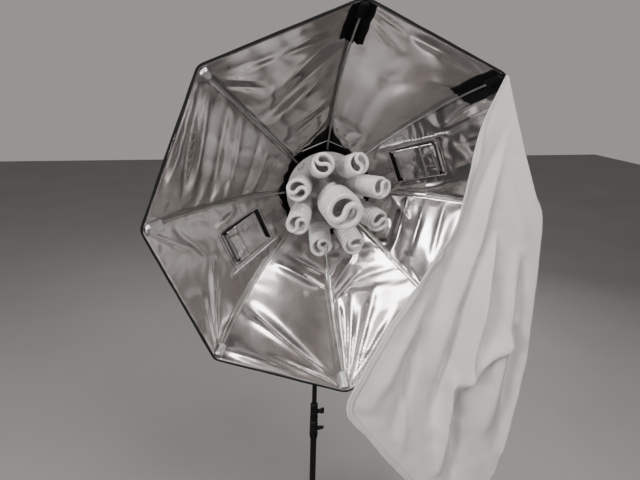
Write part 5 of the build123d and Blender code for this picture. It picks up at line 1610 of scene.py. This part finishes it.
# Direction, sharpness, strength of each broad patch; they add to the base level.
BASE_LEVEL = 0.085
LOBES = (
    ((-0.30, -0.47, 0.83), 13.0, 1.7),
    ((0.45, -0.60, 0.62), 16.0, 0.55),
    ((-0.10, 0.10, 1.0), 5.0, 0.5),
    ((0.97, -0.15, 0.03), 4.0, 0.80),
    ((-0.86, -0.45, 0.22), 7.0, 0.26),
    ((-0.75, -0.20, -0.55), 4.0, -0.16),
)
ROOM_TINTS = ((0.80, 0.70, 0.66), (1.0, 0.985, 0.97))
PATCH_SIZE, PATCH_NOISE, PATCH_SWING = 1.9, (0.38, 0.62), (0.55, 1.35)


def make_world():
    """Soft surroundings, brighter overhead and in front; the camera sees a plain backdrop."""
    world = bpy.data.worlds.new("surroundings")
    bpy.context.scene.world = world
    world.use_nodes = True
    tree = world.node_tree
    back = tree.nodes["Background"]
    coords = tree.nodes.new("ShaderNodeTexCoord")
    ray = coords.outputs["Generated"]
    total = BASE_LEVEL
    for direction, sharpness, strength in LOBES:
        total = math_node(tree, "ADD", world_lobe(tree, direction, sharpness, strength, ray), total)
    patches = tree.nodes.new("ShaderNodeTexNoise")
    patches.inputs["Scale"].default_value = PATCH_SIZE
    patches.inputs["Detail"].default_value = 2.0
    tree.links.new(ray, patches.inputs["Vector"])
    ramp = tree.nodes.new("ShaderNodeValToRGB")
    for element, place, colour in zip(ramp.color_ramp.elements, (0.40, 0.58), ROOM_TINTS):
        element.position = place
        element.color = (*colour, 1)
    tree.links.new(patches.outputs["Fac"], ramp.inputs["Fac"])
    swing = map_range(tree, patches.outputs["Fac"], *PATCH_NOISE, *PATCH_SWING)
    tint = tree.nodes.new("ShaderNodeVectorMath")
    tint.operation = "SCALE"
    tree.links.new(ramp.outputs["Color"], tint.inputs[0])
    tree.links.new(math_node(tree, "MULTIPLY", total, swing), tint.inputs["Scale"])
    path = tree.nodes.new("ShaderNodeLightPath")
    mirrored = mix_colours(tree, path.outputs["Is Glossy Ray"], SOFT_LIGHT, tint.outputs["Vector"])
    plain = mix_colours(tree, path.outputs["Is Camera Ray"], mirrored, BACKDROP)
    tree.links.new(plain, back.inputs["Color"])
    back.inputs["Strength"].default_value = 1.0


make_world()


def area_light(name, place, target, size, power, colour=(1, 1, 1)):
    """A large soft light aimed at a point, in metres."""
    data = bpy.data.lights.new(name, "AREA")
    data.shape = "DISK"
    data.size = size
    data.energy = power
    data.color = colour
    light = bpy.data.objects.new(name, data)
    light.location = place
    light.rotation_mode = "QUATERNION"
    light.rotation_quaternion = (Vector(target) - Vector(place)).to_track_quat("-Z", "Y")
    bpy.context.scene.collection.objects.link(light)


head_centre = (0.0, -0.25, AXIS * MM)
area_light("overhead", (0.4, -1.6, 3.3), head_centre, 1.1, 42.0, (1.0, 0.98, 0.96))
area_light("front_left", (-2.6, -2.0, 2.2), head_centre, 1.2, 62.0, (1.0, 0.98, 0.97))
area_light("back_fill", (1.6, 2.4, 2.4), head_centre, 2.0, 24.0)

CAMERA_PLACE = (-0.290, -1.358, 1.806)
CAMERA_FORWARD = (0.2006, 0.9212, -0.3335)
CAMERA_ROLL = 0.024
CAMERA_LENS = 26.8


def make_camera():
    """Looks up from the front, a little left of the lamp axis."""
    data = bpy.data.cameras.new("camera")
    data.sensor_width = 36.0
    data.lens = CAMERA_LENS
    camera = bpy.data.objects.new("camera", data)
    forward = Vector(CAMERA_FORWARD).normalized()
    level = forward.cross(Vector((0, 0, 1))).normalized()
    upright = level.cross(forward)
    roll = math.asin(CAMERA_ROLL / upright.z)
    right = level * math.cos(roll) + upright * math.sin(roll)
    up = right.cross(forward)
    turn = Matrix((right, up, -forward)).transposed()
    camera.matrix_world = Matrix.Translation(CAMERA_PLACE) @ turn.to_4x4()
    bpy.context.scene.collection.objects.link(camera)
    bpy.context.scene.camera = camera


make_camera()
